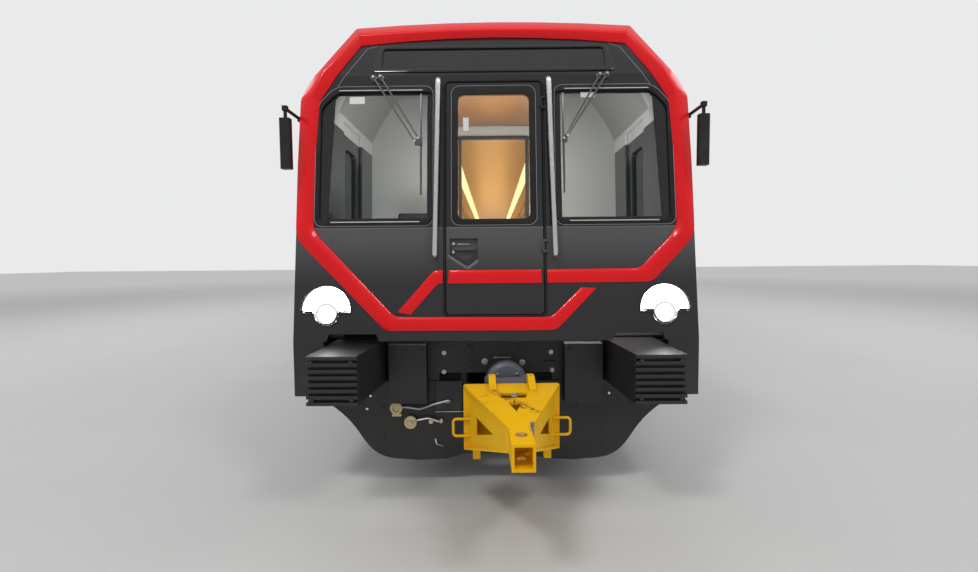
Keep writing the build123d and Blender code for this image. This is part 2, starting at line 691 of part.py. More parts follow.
BOLSTER_HALF = 290
PIVOT_BOTTOM_Z = 640
bar_ends = [FLOOR_FRONT_Y + FIT]
for bogie_y in BOGIE_Y:
    bolster = block(
        -inner_half,
        inner_half,
        bogie_y - BOLSTER_HALF,
        bogie_y + BOLSTER_HALF,
        BOLSTER_Z,
        BEAM_TOP_Z,
    )
    pivot = Cylinder(PIVOT_RADIUS, BOLSTER_Z - FIT - PIVOT_BOTTOM_Z)
    underframe.append(bolster)
    underframe.append(Pos(0, bogie_y, (PIVOT_BOTTOM_Z + BOLSTER_Z - FIT) / 2) * pivot)
    bar_ends += [bogie_y - BOLSTER_HALF - FIT, bogie_y + BOLSTER_HALF + FIT]
bar_ends.append(rear_beam_y - FIT)
for near_y, far_y in zip(bar_ends[::2], bar_ends[1::2]):
    for side in (1, -1):
        underframe.append(
            block(
                side * (inner_half - SOLE_BAR_WIDTH),
                side * inner_half,
                near_y,
                far_y,
                SOLE_BAR_LOW_Z,
                BEAM_TOP_Z,
            )
        )

CENTRE_SILL_X = (225, 265)
CENTRE_SILL_LENGTH = 900
CENTRE_SILL_LOW_Z = COUPLER_Z - 150
for near_y, far_y in (
    (FLOOR_FRONT_Y + FIT, FLOOR_FRONT_Y + CENTRE_SILL_LENGTH),
    (rear_beam_y - CENTRE_SILL_LENGTH, rear_beam_y - FIT),
):
    for side in (1, -1):
        underframe.append(
            block(
                side * CENTRE_SILL_X[0],
                side * CENTRE_SILL_X[1],
                near_y,
                far_y,
                CENTRE_SILL_LOW_Z,
                BEAM_TOP_Z,
            )
        )

WEB_X = (380, 560)
WEB_WIDTH = 90
WEB_LENGTH = 900
WEB_LOW_Z = 860
for side in (1, -1):
    for web_x in WEB_X:
        underframe.append(
            block(
                side * web_x,
                side * (web_x + WEB_WIDTH),
                FLOOR_FRONT_Y + FIT,
                FLOOR_FRONT_Y + WEB_LENGTH,
                WEB_LOW_Z,
                BEAM_TOP_Z,
            )
        )

BEARER_COUNT = 7
BEARER_HALF = 40
BEARER_LOW_Z = 960
bearer_half_length = inner_half - SOLE_BAR_WIDTH - FIT
bearer_pitch = (equipment_y[1] - equipment_y[0]) / (BEARER_COUNT - 1)
for index in range(BEARER_COUNT):
    bearer_y = equipment_y[0] + index * bearer_pitch
    underframe.append(
        block(
            -bearer_half_length,
            bearer_half_length,
            bearer_y - BEARER_HALF,
            bearer_y + BEARER_HALF,
            BEARER_LOW_Z,
            BEAM_TOP_Z,
        )
    )

headstock_half = HALF_WIDTH - HEADSTOCK_INSET
headstocks = (
    (headstock_y - HEADSTOCK_THICKNESS, headstock_y - FIT, headstock_half, HEADSTOCK_TOP_Z),
    (rear_beam_y, REAR_Y - END_WALL - FIT, inner_half, BEAM_TOP_Z),
)
for near_y, far_y, beam_half, top_z in headstocks:
    underframe.append(block(-beam_half, beam_half, near_y, far_y, COUPLER_GAP_TOP_Z, top_z))
    for side in (1, -1):
        underframe.append(
            block(
                side * COUPLER_GAP_HALF,
                side * beam_half,
                near_y,
                far_y,
                HEADSTOCK_LOW_Z,
                COUPLER_GAP_TOP_Z - FIT,
            )
        )

pocket_half = CENTRE_SILL_X[0] - FIT
POCKET_LIP = 120
POCKET_WEB = (160, 240)
POCKET_PLATE_Z = (110, 150)
COUPLER_PIN_RADIUS = 45
COUPLER_PIN_LENGTH = 300
for pivot_y, inward in ((COUPLER_PIVOT_Y, 1), (DRAWBAR_PIVOT_Y, -1)):
    lip_y = pivot_y - inward * POCKET_LIP
    plate_y = pivot_y + inward * (POCKET_WEB[0] - FIT)
    pin_hole = Pos(0, pivot_y, COUPLER_Z) * Cylinder(
        COUPLER_PIN_RADIUS + FIT, COUPLER_PIN_LENGTH + 100
    )
    for side in (1, -1):
        low_z, high_z = (COUPLER_Z + side * height for height in POCKET_PLATE_Z)
        pocket_plate = block(-pocket_half, pocket_half, lip_y, plate_y, low_z, high_z)
        underframe.append(pocket_plate - pin_hole)
    web_y = [pivot_y + inward * reach for reach in POCKET_WEB]
    underframe.append(
        block(-pocket_half, pocket_half, *web_y, COUPLER_Z - POCKET_PLATE_Z[1], BEAM_TOP_Z)
    )
    underframe.append(
        Pos(0, pivot_y, COUPLER_Z) * Cylinder(COUPLER_PIN_RADIUS, COUPLER_PIN_LENGTH)
    )
save("underframe", *underframe)

# Anti-climbers: ribbed blocks that stand out through the notches
CLIMBER_FRONT_Y = FRONT_Y - 400
RIB_COUNT = 8
RIB_DEPTH = 34
CLIMBER_FLARE = 50
climber_back_y = headstock_y - HEADSTOCK_THICKNESS
climber_plan = polygon(
    (CLIMBER_X[0], CLIMBER_FRONT_Y + RIB_DEPTH),
    (CLIMBER_X[1], CLIMBER_FRONT_Y + RIB_DEPTH),
    (CLIMBER_X[1], climber_back_y),
    (CLIMBER_X[0] - CLIMBER_FLARE, climber_back_y),
)
climber = Pos(0, 0, CLIMBER_Z[0]) * extrude(
    climber_plan, CLIMBER_Z[1] - CLIMBER_Z[0], dir=(0, 0, 1)
)
rib_pitch = (CLIMBER_Z[1] - CLIMBER_Z[0]) / (RIB_COUNT - 0.5)
for index in range(RIB_COUNT):
    rib_z = CLIMBER_Z[0] + index * rib_pitch
    climber += block(
        *CLIMBER_X,
        CLIMBER_FRONT_Y,
        CLIMBER_FRONT_Y + RIB_DEPTH,
        rib_z,
        rib_z + rib_pitch / 2,
    )
save("anti_climbers", both_sides(climber))

# Front apron with the coupler gap and the two headstock plates
APRON_Y = headstock_y - HEADSTOCK_THICKNESS
APRON_TOP_Z = 800
APRON_MIDDLE_Z = 236
APRON_THICKNESS = 14
apron_corner = (HALF_WIDTH - 140, 640)
apron_sweep = [
    apron_corner,
    (HALF_WIDTH - 265, 544),
    (HALF_WIDTH - 358, 440),
    (HALF_WIDTH - 425, 341),
    (HALF_WIDTH - 496, 263),
    (HALF_WIDTH - 578, 217),
    (HALF_WIDTH - 660, 200),
    (HALF_WIDTH - 829, 186),
]
apron_edge = Polyline(
    (0, APRON_MIDDLE_Z), (0, APRON_TOP_Z), (HALF_WIDTH - 130, APRON_TOP_Z), apron_corner
)
apron_edge += Spline(*apron_sweep)
apron_edge += Polyline(
    apron_sweep[-1], (387, 196), (318, 215), (241, APRON_MIDDLE_Z), (0, APRON_MIDDLE_Z)
)
apron = both_sides(along_y(make_face(apron_edge), APRON_Y - APRON_THICKNESS, APRON_Y))
APRON_GAP_HALF = 465
APRON_GAP_LOW_Z = 567
apron_gap = rounded_between(
    -APRON_GAP_HALF, APRON_GAP_HALF, APRON_GAP_LOW_Z, APRON_TOP_Z + 100, 30
)
apron -= along_y(apron_gap, APRON_Y - 50, APRON_Y + 50)
PLATE_X = (CLIMBER_X[0] - 356, CLIMBER_X[0] - 78)
PLATE_Z = (655, 1095)
PLATE_DEPTH = 96
for side in (1, -1):
    apron += block(
        side * PLATE_X[0],
        side * PLATE_X[1],
        APRON_Y - APRON_THICKNESS - PLATE_DEPTH,
        APRON_Y - APRON_THICKNESS,
        *PLATE_Z,
    )
save("front_apron", apron)

# Coupler, turned a little to the car's left, and the tow adapter that is hooked on its head
coupler_place = Pos(0, COUPLER_PIVOT_Y, COUPLER_Z) * Rot(0, 0, COUPLER_YAW)
EYE_RADIUS = 100
SHANK_RADIUS = 72
HEAD_FACE_Y = -1020
HEAD_HALF = 165
HEAD_Z = (-180, 150)
HEAD_EDGE = 24
COLLAR_Y = (-790, -720)
COLLAR_RADIUS = 148
COLLAR_Z = 98
CAP_DEPTH = 26
SLOT_HALF = 92
ADAPTER_YAW = -4.3
adapter_place = coupler_place * Pos(0, HEAD_FACE_Y, 0) * Rot(0, 0, ADAPTER_YAW)

collar_face = Pos(0, COLLAR_Z) * Circle(COLLAR_RADIUS) + Pos(
    0, (COLLAR_Z + HEAD_Z[0]) / 2
) * Rectangle(2 * COLLAR_RADIUS, COLLAR_Z - HEAD_Z[0])
head_back_y = COLLAR_Y[0]
head = block(-HEAD_HALF, HEAD_HALF, HEAD_FACE_Y - 30, head_back_y, *HEAD_Z)
head = fillet(head.edges().filter_by(Axis.Y), HEAD_EDGE)
head -= block(-SLOT_HALF, SLOT_HALF, head_back_y - 82, head_back_y - CAP_DEPTH, HEAD_Z[1] - 44, 400)
cap = Pos(0, head_back_y - CAP_DEPTH / 2, COLLAR_Z) * Rot(90, 0, 0) * Cone(
    COLLAR_RADIUS, COLLAR_RADIUS - CAP_DEPTH, CAP_DEPTH
)
coupler = Cylinder(EYE_RADIUS, 200)
coupler += rod((0, COLLAR_Y[1] - 20, 0), (0, -60, 0), SHANK_RADIUS)
coupler += along_y(collar_face, *COLLAR_Y) + cap + head
coupler -= Cylinder(COUPLER_PIN_RADIUS + FIT, 400)
coupler = coupler_place * coupler
coupler -= adapter_place * block(-500, 500, -300, 0, -400, 400)
save("coupler", coupler)

# The adapter is a welded A-frame: back plate, sloped top and bottom, two flanks and a box nose
ADAPTER_HALF = 326
ADAPTER_Z = (-300, 145)
ADAPTER_PLATE = 28
FRAME_PLATE = 16
FLANK_INSET = 35
NOSE_HALF = 60
NOSE_Z = (-60, 80)
NOSE_TIP_Y = -924
NOSE_LENGTH = 240
NOSE_WALL = 14
TOW_PIN_RADIUS = 26
TOW_PIN_Y = NOSE_TIP_Y + 134
nose_start_y = NOSE_TIP_Y + NOSE_LENGTH
adapter_face_y = -FIT - ADAPTER_PLATE

back_plate = rounded_between(-ADAPTER_HALF, ADAPTER_HALF, *ADAPTER_Z, 14)
adapter = along_y(back_plate, adapter_face_y, -FIT)
plan = polygon(
    (-ADAPTER_HALF, adapter_face_y),
    (ADAPTER_HALF, adapter_face_y),
    (NOSE_HALF, nose_start_y),
    (-NOSE_HALF, nose_start_y),
)
plan_prism = Pos(0, 0, -400) * extrude(plan, 800, dir=(0, 0, 1))


def sloped(outer_back, outer_nose, inward):
    """Plate of the A-frame that slopes from the back plate to the nose."""
    band = polygon(
        (adapter_face_y + 1, outer_back),
        (nose_start_y - 1, outer_nose),
        (nose_start_y - 1, outer_nose + inward),
        (adapter_face_y + 1, outer_back + inward),
    )
    return plan_prism & along_x(band, -ADAPTER_HALF, ADAPTER_HALF)


top_plate = sloped(ADAPTER_Z[1], NOSE_Z[1], -FRAME_PLATE)
slot = polygon((-92, -179), (92, -179), (74, -263), (-74, -263))
eye = polygon((-45, -336), (45, -336), (0, -470))
for opening in (slot, eye):
    top_plate -= extrude(opening, 400, dir=(0, 0, 1))
adapter += top_plate
adapter += sloped(ADAPTER_Z[0], NOSE_Z[0], FRAME_PLATE)
flank_side = polygon(
    (adapter_face_y, ADAPTER_Z[0]),
    (adapter_face_y, ADAPTER_Z[1] - 2),
    (nose_start_y, NOSE_Z[1] - 2),
    (nose_start_y, NOSE_Z[0]),
)
flank_side -= polygon((-145, -28), (-145, -157), (-459, -39))
flank_root = ADAPTER_HALF - FLANK_INSET
for side in (1, -1):
    flank_plan = polygon(
        (side * flank_root, adapter_face_y),
        (side * NOSE_HALF, nose_start_y),
        (side * (NOSE_HALF - FRAME_PLATE), nose_start_y),
        (side * (flank_root - FRAME_PLATE), adapter_face_y),
    )
    flank_prism = Pos(0, 0, -400) * extrude(flank_plan, 800, dir=(0, 0, 1))
    adapter += flank_prism & along_x(flank_side, -ADAPTER_HALF, ADAPTER_HALF)
nose = block(-NOSE_HALF, NOSE_HALF, NOSE_TIP_Y, nose_start_y, *NOSE_Z)
nose -= block(
    NOSE_WALL - NOSE_HALF,
    NOSE_HALF - NOSE_WALL,
    NOSE_TIP_Y - 10,
    nose_start_y - NOSE_WALL,
    NOSE_Z[0] + NOSE_WALL,
    NOSE_Z[1] - NOSE_WALL,
)
nose -= Pos(0, TOW_PIN_Y, 0) * Cylinder(TOW_PIN_RADIUS, 400)
adapter += nose
HOOK_X = (108, 154)
HOOK_TOP_Z = 205
HOOK_REACH = 40
hook = fillet(
    polygon(
        (-160, ADAPTER_Z[1] - 22),
        (-160, ADAPTER_Z[1] + 4),
        (-HOOK_REACH, HOOK_TOP_Z),
        (HOOK_REACH, HOOK_TOP_Z),
        (HOOK_REACH, HEAD_Z[1] + FIT),
        (-FIT - 8, HEAD_Z[1] + FIT),
        (-FIT - 8, ADAPTER_Z[1] - 22),
    ).vertices().sort_by(Axis.Y)[-2:],
    16,
)
HANDLE_Y = -45
HANDLE_X = (272, 396)
HANDLE_Z = (-198, -82)
HANDLE_RADIUS = 9
FOOT_X = (215, 265)
FOOT_DROP = 55
handle_plane = Plane(origin=(0, HANDLE_Y, 0), x_dir=(1, 0, 0), z_dir=(0, -1, 0))
for side in (1, -1):
    adapter += along_x(hook, side * HOOK_X[0], side * HOOK_X[1])
    handle_path = [(HANDLE_X[0], HANDLE_Z[0]), (HANDLE_X[1], HANDLE_Z[0])]
    handle_path += [(x, HANDLE_Z[1]) for x, z in reversed(handle_path)]
    handle_path = [(side * x, z) for x, z in handle_path]
    adapter += bent_rod(handle_plane, handle_path, 24, HANDLE_RADIUS)
    adapter += block(
        side * FOOT_X[0],
        side * FOOT_X[1],
        adapter_face_y - 30,
        adapter_face_y + 10,
        ADAPTER_Z[0] - FOOT_DROP,
        ADAPTER_Z[0] + 10,
    )
save("tow_adapter", adapter_place * adapter)

drawbar = Cylinder(EYE_RADIUS, 200) + block(-75, 75, 60, DRAWBAR_LENGTH - 30, -75, 75)
drawbar += block(-130, 130, DRAWBAR_LENGTH - 30, DRAWBAR_LENGTH, -130, 130)
drawbar -= Cylinder(COUPLER_PIN_RADIUS + FIT, 400)
save("rear_drawbar", Pos(0, DRAWBAR_PIVOT_Y, COUPLER_Z) * drawbar)

# Grab rails, mirrors and wipers on the front
RAIL_X = 425
RAIL_STANDOFF = 60
RAIL_RADIUS = 16
rails = None
for side in (1, -1):
    low = front_point(side * RAIL_X, 600, RAIL_STANDOFF)
    high = front_point(side * RAIL_X, 1925, RAIL_STANDOFF)
    rail = rod(tuple(low), tuple(high), RAIL_RADIUS)
    for v in (620, 1905):
        foot = front_point(side * RAIL_X, v, FIT)
        head = front_point(side * RAIL_X, v, RAIL_STANDOFF)
        rail += rod(tuple(foot), tuple(head), RAIL_RADIUS - 3)
    rails = rail if rails is None else rails + rail
save("front_grab_rails", rails)

MIRROR_X = HALF_WIDTH + 34
MIRROR_HALF = (38, 30)
MIRROR_EDGE = 16
MIRROR_Z = (2370, 2720)
MIRROR_ARM_Z = 2790
mirror_y = FRONT_Y + 70
mirror_root_y = FRONT_Y + 340
mirror_side = block(
    MIRROR_X - MIRROR_HALF[0],
    MIRROR_X + MIRROR_HALF[0],
    mirror_y - MIRROR_HALF[1],
    mirror_y + MIRROR_HALF[1],
    *MIRROR_Z,
)
mirror_side = fillet(mirror_side.edges().filter_by(Axis.Z), MIRROR_EDGE)
MIRROR_ARM_RADIUS = 12
CLAMP_HALF = 17
arm_corners = (
    (wall_x(MIRROR_ARM_Z) - 10, mirror_root_y, MIRROR_ARM_Z),
    (MIRROR_X, mirror_root_y, MIRROR_ARM_Z),
    (MIRROR_X, mirror_y, MIRROR_ARM_Z),
    (MIRROR_X, mirror_y, MIRROR_Z[1] - 10),
)
for start, end in zip(arm_corners, arm_corners[1:]):
    mirror_side += rod(start, end, MIRROR_ARM_RADIUS)
for corner in arm_corners[1:3]:
    mirror_side += Pos(*corner) * Box(2 * CLAMP_HALF, 2 * CLAMP_HALF, 2 * CLAMP_HALF)
mirror_side -= cab_shell
mirror_side = max(mirror_side.solids(), key=lambda solid: solid.volume)
mirror_solids = Compound([mirror_side, mirror(mirror_side, Plane.YZ)])
save("mirrors", mirror_solids)

wipers = None
for pivot_x, mount, blade_top, blade_low in (
    (-850, (-560, 1440), (-530, 1800), (-530, 1060)),
    (800, (500, 1480), (470, 1830), (520, 1180)),
):
    for offset_x in (-26, 26):
        start = tuple(front_point(pivot_x + offset_x, 1935, 26))
        end = tuple(front_point(mount[0] + offset_x / 2, mount[1], 26))
        arm = rod(start, end, 6)
        foot = rod(tuple(front_point(pivot_x + offset_x, 1935, FIT)), start, 14)
        arm += foot
        wipers = arm if wipers is None else wipers + arm
    wipers += rod(
        tuple(front_point(*blade_low, 18)), tuple(front_point(*blade_top, 18)), 9
    )
    wipers += rod(
        tuple(front_point(mount[0] - 20, mount[1], 22)),
        tuple(front_point(mount[0] + 30, mount[1], 22)),
        12,
    )
save("wipers", wipers)

# Inside: partition, ceiling, seats, poles, desk and driver's seat
inside = body_area(ROOF_THICKNESS, FLOOR_Z)
partition = along_y(inside, PARTITION_Y, PARTITION_Y + PARTITION_THICKNESS)
partition -= block(-350, 350, PARTITION_Y - 10, PARTITION_Y + 100, FLOOR_Z, 3020)
save("cab_partition", partition)

SALOON_FRONT_Y = PARTITION_Y + PARTITION_THICKNESS
SALOON_REAR_Y = REAR_Y - END_WALL
CEILING_Z = 3200
ceiling = along_y(inside, SALOON_FRONT_Y, SALOON_REAR_Y)
ceiling = ceiling & block(-1400, 1400, SALOON_FRONT_Y, SALOON_REAR_Y, CEILING_Z, CEILING_Z + 20)
for side in (1, -1):
    ceiling += block(
        side * 480, side * 620, SALOON_FRONT_Y + 100, SALOON_REAR_Y - 100, CEILING_Z - 30, CEILING_Z
    )
save("ceiling_panel", ceiling)

SEAT_DEPTH = 430
SEAT_TOP_Z = FLOOR_Z + 440
SEAT_DOOR_MARGIN = 125
seat_half_length = (DOOR_PITCH - DOOR_CLEAR) / 2 - SEAT_DOOR_MARGIN
SEAT_BACK = 420
SEAT_EDGE = 22
bench_profile = polygon(
    (inner_half, FLOOR_Z + 60),
    (inner_half, SEAT_TOP_Z + SEAT_BACK),
    (inner_half - 50, SEAT_TOP_Z + SEAT_BACK),
    (inner_half - 90, SEAT_TOP_Z - 12),
    (inner_half - SEAT_DEPTH, SEAT_TOP_Z),
    (inner_half - SEAT_DEPTH, SEAT_TOP_Z - 60),
    (inner_half - 120, FLOOR_Z + 60),
)
bench_profile = fillet(bench_profile.vertices().sort_by(Axis.X)[:5], SEAT_EDGE)
benches = []
for centre in window_centres:
    bench = along_y(bench_profile, centre - seat_half_length, centre + seat_half_length)
    benches.append(bench)
    benches.append(mirror(bench, Plane.YZ))
save("saloon_seats", *benches)

poles = []
POLE_RADIUS = 17
POLE_X = HALF_WIDTH - 610
for centre in window_centres:
    for step in (-1, 0, 1):
        for side in (1, -1):
            pole_y = centre + step * seat_half_length
            poles.append(
                rod((side * POLE_X, pole_y, FLOOR_Z), (side * POLE_X, pole_y, CEILING_Z), POLE_RADIUS)
            )
save("grab_poles", *poles)

DESK_FRONT_Y = FRONT_Y + 420
desk_profile = polygon(
    (DESK_FRONT_Y, FLOOR_Z),
    (DESK_FRONT_Y, 1900),
    (DESK_FRONT_Y + 220, 1920),
    (DESK_FRONT_Y + 480, 1830),
    (DESK_FRONT_Y + 470, 1760),
    (DESK_FRONT_Y + 300, 1700),
    (DESK_FRONT_Y + 260, FLOOR_Z),
)
save("driver_desk", along_x(desk_profile, 230 - HALF_WIDTH, -400))

SEAT_X = 630 - HALF_WIDTH
seat_y = FRONT_Y + 1400
CUSHION_Z = (1560, 1672)
CUSHION_HALF = 235
BACKREST_HALF = 215
BACKREST_TOP_Z = 2260
cushion = polygon(
    (seat_y - 240, CUSHION_Z[0]),
    (seat_y - 250, CUSHION_Z[1] - 40),
    (seat_y - 190, CUSHION_Z[1]),
    (seat_y + 180, CUSHION_Z[1] - 24),
    (seat_y + 200, CUSHION_Z[0]),
)
backrest = polygon(
    (seat_y + 150, CUSHION_Z[0] + 30),
    (seat_y + 120, CUSHION_Z[1] + 90),
    (seat_y + 185, BACKREST_TOP_Z - 170),
    (seat_y + 178, BACKREST_TOP_Z),
    (seat_y + 262, BACKREST_TOP_Z),
    (seat_y + 272, BACKREST_TOP_Z - 190),
    (seat_y + 236, CUSHION_Z[0] + 30),
)
cushion = fillet(cushion.vertices(), 24)
backrest = fillet(backrest.vertices(), 24)
seat = along_x(cushion, SEAT_X - CUSHION_HALF, SEAT_X + CUSHION_HALF)
seat += along_x(backrest, SEAT_X - BACKREST_HALF, SEAT_X + BACKREST_HALF)
SEAT_COLUMN_RADIUS = 60
SEAT_FOOT = (200, 30)
seat += rod(
    (SEAT_X, seat_y, FLOOR_Z + SEAT_FOOT[1] / 2), (SEAT_X, seat_y, CUSHION_Z[0] + 10), SEAT_COLUMN_RADIUS
)
seat += Pos(SEAT_X, seat_y, FLOOR_Z + SEAT_FOOT[1] / 2) * Cylinder(*SEAT_FOOT)
save("driver_seat", seat)

# Roof units and underfloor equipment
UNIT_LENGTH = 3000
UNIT_HALF = 800
UNIT_TOP_Z = ROOF_Z + 125
UNIT_SLOPE = (130, 100)
UNIT_EDGE = 30
UNIT_OFFSET = (-3900, 4100)
FAN_RADIUS = 310
FAN_DEPTH = 45
FAN_HUB_RADIUS = 80
FAN_HUB_SINK = 8
FAN_STEP = 650
VENT_COUNT = 8
VENT_Z = (CANT_Z - 30, CANT_Z + 50)
VENT_HALF = 90
VENT_DEPTH = 16
unit_section = polygon(
    (-UNIT_HALF, CANT_Z - 115),
    (UNIT_HALF, CANT_Z - 115),
    (UNIT_HALF, UNIT_TOP_Z - UNIT_SLOPE[1]),
    (UNIT_HALF - UNIT_SLOPE[0], UNIT_TOP_Z),
    (UNIT_SLOPE[0] - UNIT_HALF, UNIT_TOP_Z),
    (-UNIT_HALF, UNIT_TOP_Z - UNIT_SLOPE[1]),
)
unit_section = fillet(unit_section.vertices().sort_by(Axis.Y)[2:], UNIT_EDGE)
roof_units = None
for unit_offset in UNIT_OFFSET:
    unit_y = BODY_MID_Y + unit_offset
    unit = along_y(unit_section, unit_y - UNIT_LENGTH / 2, unit_y + UNIT_LENGTH / 2)
    for step in (-1, 1):
        fan_y = unit_y + step * FAN_STEP
        unit -= Pos(0, fan_y, UNIT_TOP_Z - FAN_DEPTH / 2) * Cylinder(FAN_RADIUS, FAN_DEPTH)
        hub_low_z = UNIT_TOP_Z - FAN_DEPTH - FAN_HUB_SINK
        unit += rod((0, fan_y, hub_low_z), (0, fan_y, UNIT_TOP_Z - FAN_HUB_SINK), FAN_HUB_RADIUS)
    vent_pitch = UNIT_LENGTH / (VENT_COUNT + 1)
    for index in range(VENT_COUNT):
        vent_y = unit_y - UNIT_LENGTH / 2 + (index + 1) * vent_pitch
        for side in (1, -1):
            unit -= block(
                side * (UNIT_HALF - VENT_DEPTH),
                side * (UNIT_HALF + 1),
                vent_y - VENT_HALF,
                vent_y + VENT_HALF,
                *VENT_Z,
            )
    unit -= along_y(roof_face(0), unit_y - UNIT_LENGTH, unit_y + UNIT_LENGTH)
    roof_units = unit if roof_units is None else roof_units + unit
save("roof_units", roof_units)

EQUIPMENT_TOP_Z = 925
CASE_INSET = 20
CASE_CHAMFER = 90
CASE_DOOR_WIDTH = 560
CASE_DOOR_RIM = 45
CASE_DOOR_DEPTH = 9
cases = [
    {"side": 1, "kind": "case", "length": 2050, "gap": 200, "low_z": 430, "depth": 820},
    {"side": 1, "kind": "case", "length": 1950, "gap": 200, "low_z": 400, "depth": 760},
    {"side": 1, "kind": "case", "length": 2200, "gap": 0, "low_z": 450, "depth": 700},
    {"side": -1, "kind": "case", "length": 1600, "gap": 200, "low_z": 450, "depth": 700},
    {"side": -1, "kind": "case", "length": 1400, "gap": 300, "low_z": 420, "depth": 800},
    {"side": -1, "kind": "tanks", "length": 1500, "gap": 300, "low_z": 550, "depth": 630},
    {"side": -1, "kind": "case", "length": 1300, "gap": 0, "low_z": 430, "depth": 760},
]
TANK_RADIUS = 150
TANK_X = (760, 1090)
STRAP_INSET = 250
STRAP_HALF_WIDTH = 40
STRAP_HALF = 25


def equipment_case(side, depth, start_y, end_y, low_z):
    """Closed case with a sloped lower edge and a row of set-in doors on its outer side."""
    outer_x = inner_half - CASE_INSET
    section = polygon(
        (outer_x, EQUIPMENT_TOP_Z),
        (outer_x, low_z + CASE_CHAMFER),
        (outer_x - CASE_CHAMFER, low_z),
        (outer_x - depth, low_z),
        (outer_x - depth, EQUIPMENT_TOP_Z),
    )
    case = along_y(section, start_y, end_y)
    door_count = round((end_y - start_y) / CASE_DOOR_WIDTH)
    door_pitch = (end_y - start_y - CASE_DOOR_RIM) / door_count
    for index in range(door_count):
        door_y = start_y + CASE_DOOR_RIM + index * door_pitch
        case -= block(
            outer_x - CASE_DOOR_DEPTH,
            outer_x + 1,
            door_y,
            door_y + door_pitch - CASE_DOOR_RIM,
            low_z + CASE_CHAMFER + CASE_DOOR_RIM,
            EQUIPMENT_TOP_Z - CASE_DOOR_RIM,
        )
    return case if side > 0 else mirror(case, Plane.YZ)


def air_tank(x, start_y, end_y, low_z):
    """Air reservoir along Y with two straps up to the floor."""
    middle_z = low_z + TANK_RADIUS
    length = end_y - start_y
    tank = Pos(x, start_y + length / 2, middle_z) * Rot(90, 0, 0) * Cylinder(TANK_RADIUS, length)
    for strap_y in (start_y + STRAP_INSET, end_y - STRAP_INSET):
        tank += block(
            x - STRAP_HALF_WIDTH,
            x + STRAP_HALF_WIDTH,
            strap_y - STRAP_HALF,
            strap_y + STRAP_HALF,
            middle_z + TANK_RADIUS * 0.6,
            FLOOR_UNDER_Z - FIT,
        )
    return tank


equipment = []
for side in (1, -1):
    row = [case for case in cases if case["side"] == side]
    room = equipment_y[1] - equipment_y[0] - sum(case["gap"] for case in row)
    stretch = room / sum(case["length"] for case in row)
    start_y = equipment_y[0]
    for case in row:
        end_y = start_y + case["length"] * stretch
        if case["kind"] == "tanks":
            for tank_x in TANK_X:
                equipment.append(air_tank(side * tank_x, start_y, end_y, case["low_z"]))
        else:
            equipment.append(
                equipment_case(side, case["depth"], start_y, end_y, case["low_z"])
            )
        start_y = end_y + case["gap"]
save("underfloor_equipment", *equipment)


# Bogies
def wheel_profile():
    """Half section of one wheel in (x, radius), from its back face outwards."""
    back = WHEEL_INNER_X
    front = WHEEL_INNER_X + WHEEL_WIDTH
    flange = TREAD_RADIUS + FLANGE_HEIGHT
    return polygon(
        (back - 12, AXLE_RADIUS + FIT),
        (back - 12, 130),
        (back + 45, 150),
        (back + 62, 340),
        (back, 352),
        (back, flange - 12),
        (back + 10, flange),
        (back + 20, flange),
        (back + FLANGE_WIDTH, TREAD_RADIUS + 6),
        (back + FLANGE_WIDTH + 12, TREAD_RADIUS),
        (front - 6, TREAD_RADIUS - 4),
        (front, TREAD_RADIUS - 10),
        (front, 352),
        (back + 92, 340),
        (back + 78, 150),
        (front, 130),
        (front, AXLE_RADIUS + FIT),
    )


axle_profile = polygon(
    (-JOURNAL_X[1], 0),
    (-JOURNAL_X[1], JOURNAL_RADIUS),
    (-JOURNAL_X[0], JOURNAL_RADIUS),
    (-JOURNAL_X[0] + 20, AXLE_RADIUS),
    (JOURNAL_X[0] - 20, AXLE_RADIUS),
    (JOURNAL_X[0], JOURNAL_RADIUS),
    (JOURNAL_X[1], JOURNAL_RADIUS),
    (JOURNAL_X[1], 0),
)
wheel = revolve(wheel_profile(), Axis.X)
wheelset = (revolve(axle_profile, Axis.X), wheel, mirror(wheel, Plane.YZ))

